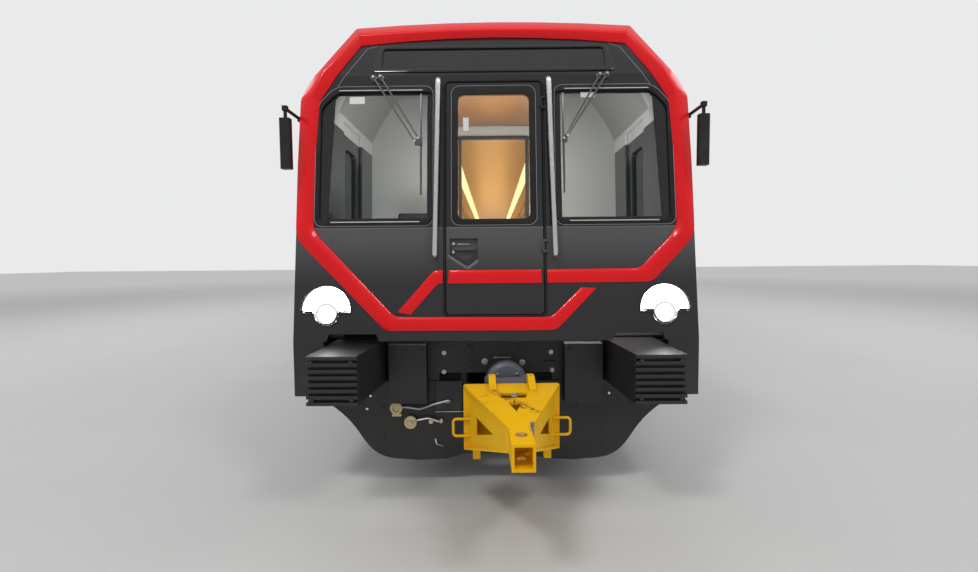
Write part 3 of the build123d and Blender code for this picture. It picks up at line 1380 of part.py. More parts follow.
SIDE_FRAME_TOP_Z = 700
AIR_SPRING_RADIUS = 260
AIR_SPRING_LOW_Z = 700
BOX_BORE = JOURNAL_RADIUS + FIT
BOX_HALF = 118
FRAME_END = bogie_half
side_frame = polygon(
    (-FRAME_END, 640),
    (-FRAME_END, 700),
    (-700, SIDE_FRAME_TOP_Z),
    (700, SIDE_FRAME_TOP_Z),
    (FRAME_END, 700),
    (FRAME_END, 640),
    (800, 640),
    (580, 500),
    (-580, 500),
    (-800, 640),
)
FRAME_BEND = 60
lower_corners = side_frame.vertices().filter_by(lambda corner: abs(corner.X) < 900 and corner.Y < 650)
side_frame = fillet(lower_corners, FRAME_BEND)
CENTRE_BOX_HALF = 330
TRANSOM_RADIUS = 66
TRANSOM_Y = 155
TRANSOM_Z = 630
for index, bogie_y in enumerate(BOGIE_Y):
    end = ("front", "rear")[index]
    frame_solid = both_sides(along_x(side_frame, *SIDE_FRAME_X))
    frame_solid += block(-CENTRE_BOX_HALF, CENTRE_BOX_HALF, -230, 230, 560, SIDE_FRAME_TOP_Z)
    for step in (1, -1):
        frame_solid += rod(
            (-SIDE_FRAME_X[0] - 20, step * TRANSOM_Y, TRANSOM_Z),
            (SIDE_FRAME_X[0] + 20, step * TRANSOM_Y, TRANSOM_Z),
            TRANSOM_RADIUS,
        )
    frame_solid -= Cylinder(PIVOT_RADIUS + FIT, 3000)
    for side in (1, -1):
        for step in (1, -1):
            unit = block(
                side * 690, side * 800, step * 470, step * 590, 400, 560
            )
            unit += block(side * 690, side * 915, step * 440, step * 520, 510, 600)
            frame_solid += unit
    save("bogie_frame_" + end, Pos(0, bogie_y, 0) * frame_solid)
    springs = []
    for side in (1, -1):
        middle_x = side * (SIDE_FRAME_X[0] + SIDE_FRAME_X[1]) / 2
        height = BOLSTER_Z - FIT - AIR_SPRING_LOW_Z
        bag = Pos(middle_x, 0, AIR_SPRING_LOW_Z + height / 2) * Cylinder(
            AIR_SPRING_RADIUS, height
        )
        springs.append(bag)
        for step in (1, -1):
            axle_y = step * WHEELBASE / 2
            box = block(
                side * JOURNAL_X[0] + side * 25,
                side * (JOURNAL_X[1] + 30),
                axle_y - BOX_HALF,
                axle_y + BOX_HALF,
                AXLE_Z - 120,
                AXLE_Z + 120,
            )
            box += block(
                side * (JOURNAL_X[0] + 25), side * JOURNAL_X[1], axle_y - 260, axle_y + 260, 430, 480
            )
            box -= Pos(0, axle_y, AXLE_Z) * Rot(0, 90, 0) * Cylinder(BOX_BORE, 2 * (JOURNAL_X[1] + FIT))
            for spring_step in (1, -1):
                box += Pos(middle_x, axle_y + spring_step * 190, 560) * Cylinder(62, 160)
            springs.append(box)
    save("suspension_" + end, *[Pos(0, bogie_y, 0) * spring for spring in springs])
    for step, number in ((-1, 1), (1, 2)):
        place = Pos(0, bogie_y + step * WHEELBASE / 2, AXLE_Z)
        save("wheelset_" + end + "_" + str(number), *[place * solid for solid in wheelset])

print(len(nodes), "nodes written")
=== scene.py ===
import bpy
import math
from mathutils import Matrix, Vector


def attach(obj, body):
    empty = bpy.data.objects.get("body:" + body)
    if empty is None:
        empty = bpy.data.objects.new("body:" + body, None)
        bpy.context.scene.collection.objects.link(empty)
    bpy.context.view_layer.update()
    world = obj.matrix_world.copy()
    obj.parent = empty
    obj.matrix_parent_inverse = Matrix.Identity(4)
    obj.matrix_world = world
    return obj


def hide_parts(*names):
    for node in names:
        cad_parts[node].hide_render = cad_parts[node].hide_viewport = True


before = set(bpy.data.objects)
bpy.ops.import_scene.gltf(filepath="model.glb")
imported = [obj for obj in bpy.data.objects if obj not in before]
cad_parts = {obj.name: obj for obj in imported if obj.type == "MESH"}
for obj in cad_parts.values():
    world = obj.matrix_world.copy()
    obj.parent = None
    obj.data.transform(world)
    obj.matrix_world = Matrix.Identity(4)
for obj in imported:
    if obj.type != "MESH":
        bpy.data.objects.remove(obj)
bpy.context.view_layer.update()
print("frame loaded")

fit = 0.0003  # how far a piece laid on a surface stands off it

# main sizes of the car, in metres
car = {"frontY": -8.415, "rearY": 9.085, "halfWidth": 1.43, "shoulderHalf": 1.408, "waistZ": 2.05,
       "shoulderZ": 2.99, "kinkZ": 1.15, "browV": 1.95, "doorY": [-4.915, -1.065, 2.785, 6.635],
       "windowY": [-2.99, 0.86, 4.71], "windowHalf": 0.545, "endWindow": (8.349, 0.28),
       "cabWindow": (-7.185, 0.18), "bogieY": {"front": -5.395, "rear": 5.905}, "headstockY": -8.145}


def leaning(origin, degrees):  # plane facing forwards: x across, y up it, z out of it
    turn = math.radians(degrees)
    rise, out = math.sin(turn), math.cos(turn)
    return Matrix(((1, 0, 0, origin[0]), (0, rise, -out, origin[1]), (0, out, rise, origin[2]), (0, 0, 0, 1)))


def sidePlane(turn, x, z):  # plane facing the car's left: x aft, y up it, z out of it
    return Matrix(((0, -math.sin(turn), math.cos(turn), x), (1, 0, 0, 0), (0, math.cos(turn), math.sin(turn), z),
                   (0, 0, 0, 1)))


facePlane = leaning((0, car["frontY"], car["kinkZ"]), 8)
browPlane = leaning(facePlane @ Vector((0, car["browV"], 0)), 27)
wallTurn = math.atan((car["halfWidth"] - car["shoulderHalf"]) / (car["shoulderZ"] - car["waistZ"]))
wallPlane = sidePlane(wallTurn, car["halfWidth"], car["waistZ"])
skirtPlane = sidePlane(0, car["halfWidth"], 0)
lampPlane = sidePlane(math.radians(27), 1.376, 3.052)
rearPlane = Matrix(((-1, 0, 0, 0), (0, 0, 1, car["rearY"]), (0, 1, 0, 0), (0, 0, 0, 1)))  # faces backwards


def turnedZ(origin, degrees):
    return Matrix.Translation(origin) @ Matrix.Rotation(math.radians(degrees), 4, "Z")


couplerFrame = turnedZ((0, -7.515, 0.73), 5.9)
adapterFrame = couplerFrame @ turnedZ((0, -1.020, 0), -4.3)


# shader maths
class Socket:
    def __init__(self, shader, out):
        self.shader = shader
        self.out = out

    def join(self, operation, other, turned=False):
        first, second = (other, self) if turned else (self, other)
        return self.shader.node("ShaderNodeMath", {"operation": operation}, {0: first, 1: second})

    def __add__(self, other):
        return self.join("ADD", other)

    def __radd__(self, other):
        return self.join("ADD", other, True)

    def __sub__(self, other):
        return self.join("SUBTRACT", other)

    def __rsub__(self, other):
        return self.join("SUBTRACT", other, True)

    def __mul__(self, other):
        return self.join("MULTIPLY", other)

    def __rmul__(self, other):
        return self.join("MULTIPLY", other, True)

    def __truediv__(self, other):
        return self.join("DIVIDE", other)


class Shader:
    def __init__(self, name):
        self.material = bpy.data.materials.new(name)
        self.material.use_nodes = True
        self.tree = self.material.node_tree
        self.surface = self.tree.nodes["Principled BSDF"]
        self.end = self.tree.nodes["Material Output"]
        self.place = self.node("ShaderNodeTexCoord", {}, {}, "Object")

    def put(self, target, value):
        if isinstance(value, Socket):
            self.tree.links.new(value.out, target)
        else:
            target.default_value = value

    def node(self, kind, settings, sockets, out=0):
        made = self.tree.nodes.new(kind)
        for key, value in settings.items():
            setattr(made, key, value)
        for key, value in sockets.items():
            self.put(made.inputs[key], value)
        return Socket(self, made.outputs[out])

    def paint(self, **values):  # colour, metal, rough, coat, normal, glow and so on
        names = {"colour": "Base Color", "metal": "Metallic", "rough": "Roughness", "coat": "Coat Weight",
                 "coatRough": "Coat Roughness", "normal": "Normal", "glow": "Emission Color",
                 "glowPower": "Emission Strength", "specular": "Specular IOR Level", "sheen": "Sheen Weight"}
        for key, value in values.items():
            self.put(self.surface.inputs[names[key]], value)
        return self.material

    def axes(self):
        split = self.tree.nodes.new("ShaderNodeSeparateXYZ")
        self.put(split.inputs[0], self.place)
        return [Socket(self, split.outputs[index]) for index in range(3)]

    def noise(self, scale, detail=3, stretch=None, rough=0.5):
        place = self.place
        if stretch:
            place = self.node("ShaderNodeMapping", {}, {"Vector": place, "Scale": stretch})
        return self.node("ShaderNodeTexNoise", {}, {"Vector": place, "Scale": scale, "Detail": detail,
                                                    "Roughness": rough})

    def step(self, value, low, high):  # 0 below low, 1 above high
        return self.node("ShaderNodeMapRange", {"interpolation_type": "SMOOTHSTEP", "clamp": True},
                         {"Value": value, "From Min": low, "From Max": high, "To Min": 0.0, "To Max": 1.0})

    def mix(self, share, first, second):
        return self.node("ShaderNodeMix", {"data_type": "RGBA"}, {0: share, 6: first, 7: second}, 2)

    def size(self, value):
        return self.node("ShaderNodeMath", {"operation": "ABSOLUTE"}, {0: value})

    def larger(self, first, second):
        return self.node("ShaderNodeMath", {"operation": "MAXIMUM"}, {0: first, 1: second})

    def band(self, value, middle, half, soft):  # 1 near the middle value, 0 away from it
        return 1 - self.step(self.size(value - middle), half - soft, half + soft)

    def lines(self, value, pitch, width):  # 1 on thin lines that repeat along a value
        return 1 - self.step(self.node("ShaderNodeMath", {"operation": "PINGPONG"}, {0: value, 1: pitch / 2}),
                             width / 2, width)

    def bump(self, height, strength, distance):
        return self.node("ShaderNodeBump", {}, {"Height": height, "Strength": strength, "Distance": distance})


def colour(red, green, blue):
    return (red, green, blue, 1.0)


def darker(base, share):
    return tuple(channel * share for channel in base[:3]) + (1.0,)


dust = colour(0.20, 0.175, 0.145)
grimeBlack = colour(0.018, 0.016, 0.014)


def painted(name, base, rough=0.35, coat=0.0, metal=0.0, dirt=0.3, dirtTop=1.3, ripple=0.0004, dirtColour=dust):
    s = Shader(name)
    x, y, z = s.axes()
    cloud = s.noise(1.3, 4)
    fine = s.noise(60, 3)
    low = 1 - s.step(z, 0.35, dirtTop)
    streak = s.noise(9, 4, (1, 1, 0.12))
    grime = s.step(streak * low + low * 0.25, 0.32, 0.95) * dirt
    shade = s.mix(cloud, darker(base, 0.88), base)
    return s.paint(colour=s.mix(grime, shade, dirtColour), metal=metal, coat=coat, coatRough=0.04,
                   rough=rough + grime * 0.4 + (fine - 0.5) * 0.06 + (cloud - 0.5) * 0.05,
                   normal=s.bump(fine * 0.5 + cloud * 4, 0.15, ripple))


def bareMetal(name, base, rough, grain=(1, 1, 1), tarnish=0.25):
    s = Shader(name)
    brushed = s.noise(120, 4, grain)
    stain = s.step(s.noise(7, 4), 0.5, 0.8) * tarnish
    return s.paint(colour=s.mix(stain, base, darker(base, 0.45)), metal=1.0,
                   rough=rough + (brushed - 0.5) * 0.22 + stain * 0.4, normal=s.bump(brushed, 0.25, 0.0004))


def rubbery(name, base, rough=0.7, dustShare=0.35):
    s = Shader(name)
    fine = s.noise(220, 2)
    share = s.step(s.noise(5, 4), 0.45, 0.8) * dustShare
    return s.paint(colour=s.mix(share, base, dust), rough=rough + (fine - 0.5) * 0.15,
                   normal=s.bump(fine, 0.3, 0.0006), specular=0.3)


def glassy(name, tint, seen=0.7, border=None):
    s = Shader(name)
    smear = s.noise(3.1, 5)
    s.paint(colour=colour(0.012, 0.013, 0.015), rough=0.03 + s.step(smear, 0.55, 0.8) * 0.05, specular=0.5)
    through = s.node("ShaderNodeBsdfTransparent", {}, {"Color": tint})
    # the share that is reflected, worked out to be the same from both faces of a pane
    facing = s.node("ShaderNodeLayerWeight", {}, {"Blend": 0.5}, "Facing")
    edge = s.node("ShaderNodeMath", {"operation": "POWER"}, {0: facing, 1: 5.0}) * 0.96 + 0.04
    solid = (1 - seen) + edge * seen
    if border:
        solid = 1 - (1 - solid) * (1 - border(s, *s.axes()))
    mixed = s.node("ShaderNodeMixShader", {}, {0: solid, 1: through, 2: Socket(s, s.surface.outputs[0])})
    s.put(s.end.inputs["Surface"], mixed)
    return s.material


def glowing(name, base, power, body=None):
    s = Shader(name)
    return s.paint(colour=body or base, glow=s.mix(s.noise(35, 2), base, darker(base, 0.9)), glowPower=power,
                   rough=0.25)


def wallPaint():  # pale body with a dark window band, red lines and panel joints
    s = Shader("bodySidePaint")
    x, y, z = s.axes()
    cloud = s.noise(0.9, 4)
    fine = s.noise(70, 3)
    band = s.band(z, 2.37, 0.485, 0.0015)
    redLine = s.band(z, 1.845, 0.028, 0.0015) + s.band(z, 0.835, 0.075, 0.0015)
    low = 1 - s.step(z, 0.7, 1.9)
    grime = s.step(s.noise(7, 5, (1, 1, 0.09)) * low + low * 0.2, 0.3, 0.95) * 0.4
    soot = s.step(s.noise(5, 5, (1, 1, 0.15)), 0.6, 0.9) * s.step(z, 2.8, 3.4) * 0.35
    pale = s.mix(cloud, colour(0.60, 0.615, 0.625), colour(0.68, 0.69, 0.695))
    coloured = s.mix(redLine, s.mix(band, pale, colour(0.020, 0.021, 0.025)), colour(0.60, 0.012, 0.02))
    joints = s.lines(y + 0.31, 1.925, 0.0035) * (1 - band)
    dirty = s.mix(soot, s.mix(grime, s.mix(joints * 0.65, coloured, grimeBlack), dust), colour(0.1, 0.09, 0.08))
    return s.paint(colour=dirty, metal=(1 - band) * 0.12,
                   rough=0.34 - band * 0.14 + grime * 0.4 + (fine - 0.5) * 0.05, coat=0.35, coatRough=0.05,
                   normal=s.bump(fine * 0.4 + cloud * 6 - joints * 6, 0.2, 0.0006))


def maskPaint():  # black gloss above the seam, charcoal below it
    s = Shader("maskPaint")
    x, y, z = s.axes()
    cloud = s.noise(2.2, 4)
    fine = s.noise(90, 3)
    upper = s.step(z, 1.949, 1.953)
    low = 1 - s.step(z, 0.75, 1.7)
    grime = s.step(s.noise(6, 4, (1, 1, 0.3)) * low, 0.3, 0.8) * 0.10
    # painted light: the charcoal is painted lighter from z 1.5 up to the seam and darker below, standing in for
    # light on the face
    charcoal = s.mix(s.step(z, 1.5, 1.95), colour(0.034, 0.033, 0.036),
                     s.mix(cloud, colour(0.088, 0.086, 0.090), colour(0.112, 0.109, 0.113)))
    black = s.mix(cloud, colour(0.009, 0.009, 0.011), colour(0.013, 0.013, 0.015))
    seam = s.band(z, 1.951, 0.0025, 0.001)
    toned = s.mix(seam, s.mix(upper, charcoal, black), colour(0.2, 0.2, 0.21))
    return s.paint(colour=s.mix(grime, toned, dust), metal=(1 - upper) * 0.3, specular=0.35,
                   rough=0.40 - upper * 0.28 + (fine - 0.5) * 0.05 + grime * 0.3, coat=0.08 + upper * 0.5,
                   coatRough=0.05, normal=s.bump(fine * 0.3 + cloud * 3, 0.12, 0.0005))


def redPaint():
    s = Shader("redRibbonPaint")
    cloud = s.noise(1.6, 3)
    fine = s.noise(120, 3)
    chips = s.step(s.noise(23, 6, None, 0.7), 0.75, 0.78) * 0.4
    tone = s.mix(cloud, colour(0.74, 0.0025, 0.006), colour(0.88, 0.004, 0.009))
    return s.paint(colour=s.mix(chips, tone, colour(0.30, 0.010, 0.012)), rough=0.32 + (fine - 0.5) * 0.05,
                   coat=0.30, coatRough=0.05, specular=0.18,
                   normal=s.bump(fine * 0.4 + cloud * 2, 0.1, 0.0005))


def wornYellow():  # chipped paint, with scuffs on the right arm and bare steel beside the nose
    s = Shader("wornYellowPaint")
    x, y, z = s.axes()
    cloud = s.noise(6, 4)
    fine = s.noise(130, 3)
    chips = s.step(s.noise(34, 8, None, 0.72), 0.645, 0.672)
    scratches = s.step(s.noise(26, 6, (1, 0.12, 1), 0.65), 0.67, 0.69) * 0.8
    # a band along the right arm of the sloped top, in world places
    arm = s.band(x * 0.80 + y * 0.60, -5.222, 0.030, 0.014) * s.band(y, -8.85, 0.17, 0.05) * s.step(z, 0.80, 0.82)
    scuffs = arm * s.step(s.noise(58, 5, (1, 1, 1), 0.7), 0.50, 0.54)
    beside = s.band(x - (y + 9.21) * 0.02, 0.205, 0.022, 0.006)
    bare = beside * s.band(y, -9.19, 0.05, 0.012) * s.band(z, 0.745, 0.075, 0.01)
    wear = s.larger(s.larger(chips, scratches), scuffs * 0.9)
    oily = s.step(s.noise(9, 5), 0.55, 0.78) * 0.35
    yellow = s.mix(cloud, colour(0.86, 0.47, 0.001), colour(0.95, 0.55, 0.002))
    rusty = s.mix(fine, colour(0.05, 0.04, 0.035), colour(0.2, 0.1, 0.06))
    toned = s.mix(wear, s.mix(oily, yellow, colour(0.36, 0.19, 0.012)), rusty)
    return s.paint(colour=s.mix(bare, toned, colour(0.42, 0.42, 0.44)), metal=s.larger(wear * 0.5, bare),
                   specular=0.22, rough=0.46 + (fine - 0.5) * 0.12 + wear * 0.15 - oily * 0.25 - bare * 0.1,
                   normal=s.bump(fine * 0.5 - wear * 1.6, 0.35, 0.0012))


def wheelMetal(name, axleY):  # polished tread, dark painted web
    s = Shader(name)
    x, y, z = s.axes()
    around = s.node("ShaderNodeCombineXYZ", {}, {"X": 0.0, "Y": y - axleY, "Z": z - 0.448})
    reach = s.node("ShaderNodeVectorMath", {"operation": "LENGTH"}, {0: around}, "Value")
    tread = s.step(reach, 0.385, 0.392)
    rust = s.step(s.noise(14, 6), 0.4, 0.75)
    fine = s.noise(160, 3)
    web = s.mix(rust * 0.6, colour(0.06, 0.058, 0.055), colour(0.16, 0.075, 0.04))
    return s.paint(colour=s.mix(tread, web, colour(0.42, 0.40, 0.38)), metal=0.2 + tread * 0.75,
                   rough=0.62 - tread * 0.36 + (fine - 0.5) * 0.1, normal=s.bump(fine, 0.2, 0.0006))


def wovenCloth(name, base, fleck):
    s = Shader(name)
    x, y, z = s.axes()
    weave = s.lines(x + y * 0.5, 0.0024, 0.0010) + s.lines(z + y * 0.5, 0.0024, 0.0010)
    flecks = s.step(s.noise(240, 3), 0.56, 0.66)
    return s.paint(colour=s.mix(flecks, s.mix(weave * 0.35, base, darker(base, 0.5)), fleck), rough=0.9,
                   sheen=0.4, specular=0.2, normal=s.bump(weave, 0.5, 0.0006))


def windscreenFrit(s, x, y, z):
    half = s.size(x)
    inner = 1 - s.step(half, 0.487, 0.489)
    outer = s.step(half + (z - 2.0) * 0.043, 1.206, 1.208)
    ends = s.step(z, 2.940, 2.942) + (1 - s.step(z, 2.022, 2.024))
    return s.node("ShaderNodeMath", {"operation": "MINIMUM"}, {0: inner + outer + ends, 1: 1.0})


print("materials")
paints = {
    "body": wallPaint(),
    "roof": painted("roofGrey", colour(0.30, 0.31, 0.32), 0.5, dirt=0.0, ripple=0.0006),
    "mask": maskPaint(),
    "red": redPaint(),
    "yellow": wornYellow(),
    "windscreen": glassy("windscreenGlass", colour(0.80, 0.83, 0.82), 0.9, windscreenFrit),
    "doorGlass": glassy("doorGlass", colour(0.86, 0.87, 0.85), 0.92),
    "sideGlass": glassy("sideGlass", colour(0.42, 0.45, 0.45), 0.75),
    "lampCover": glassy("lampCoverGlass", colour(0.99, 0.99, 0.99), 0.95),
    "display": painted("displayGlass", colour(0.006, 0.006, 0.008), 0.06, 0.6, dirt=0, ripple=0.0001),
    "underframe": painted("underframePaint", colour(0.030, 0.031, 0.034), 0.55, dirt=0.35, dirtTop=1.0),
    "climber": painted("climberBlack", colour(0.021, 0.021, 0.023), 0.40, dirt=0.12, dirtTop=1.0),
    "apron": painted("apronCharcoal", colour(0.010, 0.010, 0.011), 0.42, 0.1, dirt=0.06, dirtTop=0.8),
    "steel": bareMetal("brushedStainless", colour(0.70, 0.70, 0.69), 0.24, (1, 1, 0.05)),
    "bolt": bareMetal("zincBolts", colour(0.50, 0.50, 0.48), 0.35),
    "black": rubbery("blackPlastic", colour(0.014, 0.014, 0.015), 0.5, 0.08),
    "rubber": rubbery("windowRubber", colour(0.008, 0.008, 0.009), 0.62, 0.08),
    "bellows": rubbery("bellowsRubber", colour(0.040, 0.041, 0.045), 0.75, 0.4),
    "unit": painted("roofUnitGrey", colour(0.40, 0.41, 0.42), 0.45, dirt=0.0),
    "case": painted("caseGrey", colour(0.12, 0.125, 0.13), 0.48, dirt=0.6, dirtTop=1.1),
    "coupler": painted("couplerBlueGrey", colour(0.155, 0.165, 0.200), 0.42, metal=0.25, dirt=0.35, dirtTop=1.5,
                       dirtColour=grimeBlack),
    "bogie": painted("bogiePaint", colour(0.05, 0.052, 0.056), 0.52, dirt=0.7, dirtTop=1.1),
    "spring": rubbery("springRubber", colour(0.02, 0.02, 0.02), 0.7, 0.5),
    "lining": painted("liningWhite", colour(0.72, 0.72, 0.69), 0.35, dirt=0),
    "tan": painted("tanPanel", colour(0.36, 0.20, 0.11), 0.4, dirt=0),
    "partition": painted("partitionGrey", colour(0.46, 0.47, 0.48), 0.4, dirt=0),
    "seat": painted("seatOrange", colour(0.62, 0.22, 0.035), 0.34, 0.3, dirt=0),
    "desk": painted("deskCharcoal", colour(0.035, 0.037, 0.04), 0.55, dirt=0),
    "cloth": wovenCloth("driverSeatCloth", colour(0.022, 0.026, 0.045), colour(0.10, 0.11, 0.16)),
    "warm": glowing("warmTube", colour(1.0, 0.70, 0.40), 2.2),
    "beam": glowing("headlampBeam", colour(1.0, 0.99, 0.97), 14.0),
    "amber": glowing("amberLamp", colour(1.0, 0.42, 0.05), 0.35, colour(0.5, 0.16, 0.02)),
    "green": glowing("greenRing", colour(0.1, 0.9, 0.3), 0.6, colour(0.05, 0.3, 0.1)),
    "screen": glowing("deskScreen", colour(0.12, 0.2, 0.3), 0.5, colour(0.01, 0.012, 0.016)),
    # grey for the handle trim; on the frame beads and panel seams it is a painted highlight
    "bead": painted("greyTrimAndPaintedHighlight", colour(0.29, 0.29, 0.33), 0.3, 0.3, dirt=0),
    "arm": painted("wiperArmGrey", colour(0.11, 0.11, 0.12), 0.3, 0.3, metal=0.5, dirt=0),
    # painted light: the headlamp reflectors, back plate and rings glow, standing in for the lamp's light on them
    "lampInsidePaintedGlow": glowing("lampInsidePaintedGlow", colour(0.80, 0.78, 0.77), 0.55),
    "chrome": bareMetal("polishedReflector", colour(0.86, 0.86, 0.86), 0.08, tarnish=0.0),
    "white": painted("plainWhitePlate", colour(0.75, 0.75, 0.73), 0.4, dirt=0),
    "cream": painted("creamCoupling", colour(0.66, 0.56, 0.30), 0.4, dirt=0.2, dirtTop=0.9),
}

nodePaint = {
    "underframe": "underframe", "side_wall_left": "body", "side_wall_right": "body", "roof_shell": "roof",
    "cab_shell": "body", "front_mask": "mask", "mask_rim": "red", "windscreens": "windscreen",
    "destination_display": "display", "headlamps": "lampCover", "anti_climbers": "climber",
    "front_apron": "apron", "front_grab_rails": "steel", "mirrors": "black", "wipers": "black",
    "side_windows": "sideGlass",
    "rear_end_wall": "body", "gangway_bellows": "bellows", "roof_units": "unit", "underfloor_equipment": "case",
    "ceiling_panel": "lining", "cab_partition": "partition", "saloon_seats": "seat", "grab_poles": "steel",
    "driver_desk": "desk", "driver_seat": "cloth", "front_door": "mask", "front_door_band": "red",
    "front_door_glass": "doorGlass", "coupler": "coupler", "tow_adapter": "yellow", "rear_drawbar": "coupler",
}
for end in ("front", "rear"):
    nodePaint["bogie_frame_" + end] = "bogie"
    nodePaint["suspension_" + end] = "spring"
for side in ("left", "right"):
    for end in ("fore", "aft"):
        nodePaint["door_leaves_" + side + "_" + end] = "body"
        nodePaint["door_glass_" + side + "_" + end] = "sideGlass"
    nodePaint["cab_door_" + side] = "body"
    nodePaint["cab_door_glass_" + side] = "sideGlass"


def dress(name, material):
    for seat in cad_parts[name].material_slots:
        seat.material = material


for name, key in nodePaint.items():
    dress(name, paints[key])
for name, axleY in (("front_1", -6.47), ("front_2", -4.32), ("rear_1", 4.83), ("rear_2", 6.98)):
    dress("wheelset_" + name, wheelMetal("wheelSteel_" + name, axleY))


# shaping
def rest():
    if bpy.context.object and bpy.context.object.mode != "OBJECT":
        bpy.ops.object.mode_set(mode="OBJECT")
    bpy.ops.object.select_all(action="DESELECT")


def pick(obj):
    rest()
    obj.select_set(True)
    bpy.context.view_layer.objects.active = obj


def edit(obj):
    pick(obj)
    bpy.ops.object.mode_set(mode="EDIT")
    bpy.ops.mesh.select_all(action="SELECT")


def modify(obj, kind, **settings):
    pick(obj)
    modifier = obj.modifiers.new("work", kind)
    for key, value in settings.items():
        setattr(modifier, key, value)
    bpy.ops.object.modifier_apply(modifier=modifier.name)


def soften(obj, width, steps=2, angle=35):
    modify(obj, "BEVEL", width=width, segments=steps, limit_method="ANGLE", angle_limit=math.radians(angle))


def combine(obj, other, operation):  # union or difference with another piece, which is used up
    modify(obj, "BOOLEAN", operation=operation, object=other, solver="EXACT")
    bpy.data.objects.remove(other)
    return obj


def outward(obj):
    edit(obj)
    bpy.ops.mesh.remove_doubles(threshold=0.00001)
    bpy.ops.mesh.normals_make_consistent(inside=False)
    bpy.ops.object.mode_set(mode="OBJECT")


def settle(obj):
    pick(obj)
    bpy.ops.object.transform_apply(location=True, rotation=True, scale=True)


def place(obj, matrix=None):
    if matrix:
        obj.data.transform(matrix)
        obj.data.update()
    return obj


def box(low, high, edge=0.004, steps=2, plane=None):
    rest()
    size = [abs(b - a) for a, b in zip(low, high)]
    bpy.ops.mesh.primitive_cube_add(size=1, location=[(a + b) / 2 for a, b in zip(low, high)], scale=size)
    obj = bpy.context.object
    settle(obj)
    if edge:
        soften(obj, min(edge, 0.45 * min(size)), steps)
    return place(obj, plane)


def bar(start, end, radius, sides=14, edge=0.0, plane=None):
    rest()
    first, last = Vector(start), Vector(end)
    run = last - first
    bpy.ops.mesh.primitive_cylinder_add(vertices=sides, radius=radius, depth=run.length,
                                        location=(first + last) / 2,
                                        rotation=run.to_track_quat("Z", "Y").to_euler())
    obj = bpy.context.object
    settle(obj)
    if edge:
        soften(obj, edge, 2, 50)
    return place(obj, plane)


def pipe(points, radius, bend=0.04, sides=3, plane=None, smooth=5):  # bent rod along a path
    rest()
    corners = [Vector(point) for point in points]
    route = [corners[0]]
    for before, corner, after in zip(corners, corners[1:], corners[2:]):
        if bend:
            route += [corner + (before - corner).normalized() * bend, corner,
                      corner + (after - corner).normalized() * bend]
        else:
            route.append(corner)
    route.append(corners[-1])
    bpy.ops.curve.primitive_nurbs_path_add()
    obj = bpy.context.object
    line = obj.data
    line.bevel_depth, line.bevel_resolution, line.use_fill_caps, line.resolution_u = radius, sides, True, smooth
    spline = line.splines[0]
    spline.points.add(len(route) - len(spline.points))
    for point, where in zip(spline.points, route):
        point.co = (*where, 1)
    spline.order_u, spline.use_endpoint_u = 3, True
    pick(obj)
    bpy.ops.object.convert(target="MESH")
    return place(bpy.context.object, plane)


def sheetOf(points, radius=0.0, steps=4):  # plane cut along a convex outline, its corners rounded
    rest()
    xs, ys = [point[0] for point in points], [point[1] for point in points]
    bpy.ops.mesh.primitive_plane_add(size=1, location=((min(xs) + max(xs)) / 2, (min(ys) + max(ys)) / 2, 0))
    obj = bpy.context.object
    obj.scale = (max(xs) - min(xs), max(ys) - min(ys), 1)
    settle(obj)
    edit(obj)
    for start, end in zip(points, points[1:] + points[:1]):
        if start[0] != end[0] and start[1] != end[1]:
            bpy.ops.mesh.select_all(action="SELECT")
            bpy.ops.mesh.bisect(plane_co=(*start, 0), plane_no=(end[1] - start[1], start[0] - end[0], 0),
                                clear_outer=True)
    if radius:
        bpy.ops.mesh.select_all(action="SELECT")
        bpy.ops.mesh.bevel(offset=radius, segments=steps, affect="VERTICES")
    bpy.ops.object.mode_set(mode="OBJECT")
    return obj


def square(x0, x1, y0, y1):
    return [(x0, y0), (x1, y0), (x1, y1), (x0, y1)]


def thicken(obj, low, high, edge, steps, plane):
    place(obj, Matrix.Translation((0, 0, low)))
    modify(obj, "SOLIDIFY", thickness=high - low, offset=1)
    outward(obj)
    if edge:
        soften(obj, edge, steps)
    return place(obj, plane)


def plate(points, low, high, radius=0.0, edge=0.002, steps=2, plane=None):  # plate cut to an outline
    return thicken(sheetOf(points, radius), low, high, edge, steps, plane)


def collar(inner, outer, low, high, radii, edge=0.003, steps=2, plane=None):  # frame between two outlines
    ring = fuse([sheetOf(outer, radii[1]), sheetOf(inner, radii[0])])
    edit(ring)
    bpy.ops.mesh.delete(type="ONLY_FACE")
    bpy.ops.mesh.select_all(action="SELECT")
    bpy.ops.mesh.bridge_edge_loops()
    bpy.ops.object.mode_set(mode="OBJECT")
    if sum(face.normal.z for face in ring.data.polygons) < 0:
        ring.data.flip_normals()
    return thicken(ring, low, high, edge, steps, plane)


def turned(profile, sides=28, plane=None, where=None):  # round piece from steps of radius and height
    rest()
    bpy.ops.mesh.primitive_circle_add(vertices=sides, radius=profile[0][0], fill_type="NGON",
                                      location=(0, 0, profile[0][1]))
    obj = bpy.context.object
    settle(obj)
    edit(obj)
    for (radius, height), (oldRadius, oldHeight) in zip(profile[1:], profile):
        bpy.ops.mesh.extrude_region_move(TRANSFORM_OT_translate={"value": (0, 0, height - oldHeight)})
        if radius != oldRadius:
            bpy.ops.transform.resize(value=(radius / oldRadius, radius / oldRadius, 1),
                                     center_override=(0, 0, height))
    bpy.ops.object.mode_set(mode="OBJECT")
    outward(obj)
    if where:
        place(obj, Matrix.Translation(where))
    return place(obj, plane)


def ringOf(radius, thickness, plane, where, sides=32):
    rest()
    bpy.ops.mesh.primitive_torus_add(major_radius=radius, minor_radius=thickness, major_segments=sides,
                                     minor_segments=8, location=where)
    obj = bpy.context.object
    settle(obj)
    return place(obj, plane)


def copyOf(obj, matrix):
    twin = obj.copy()
    twin.data = obj.data.copy()
    bpy.context.scene.collection.objects.link(twin)
    return place(twin, matrix)


def moved(obj, x, y, z):
    return copyOf(obj, Matrix.Translation((x, y, z)))


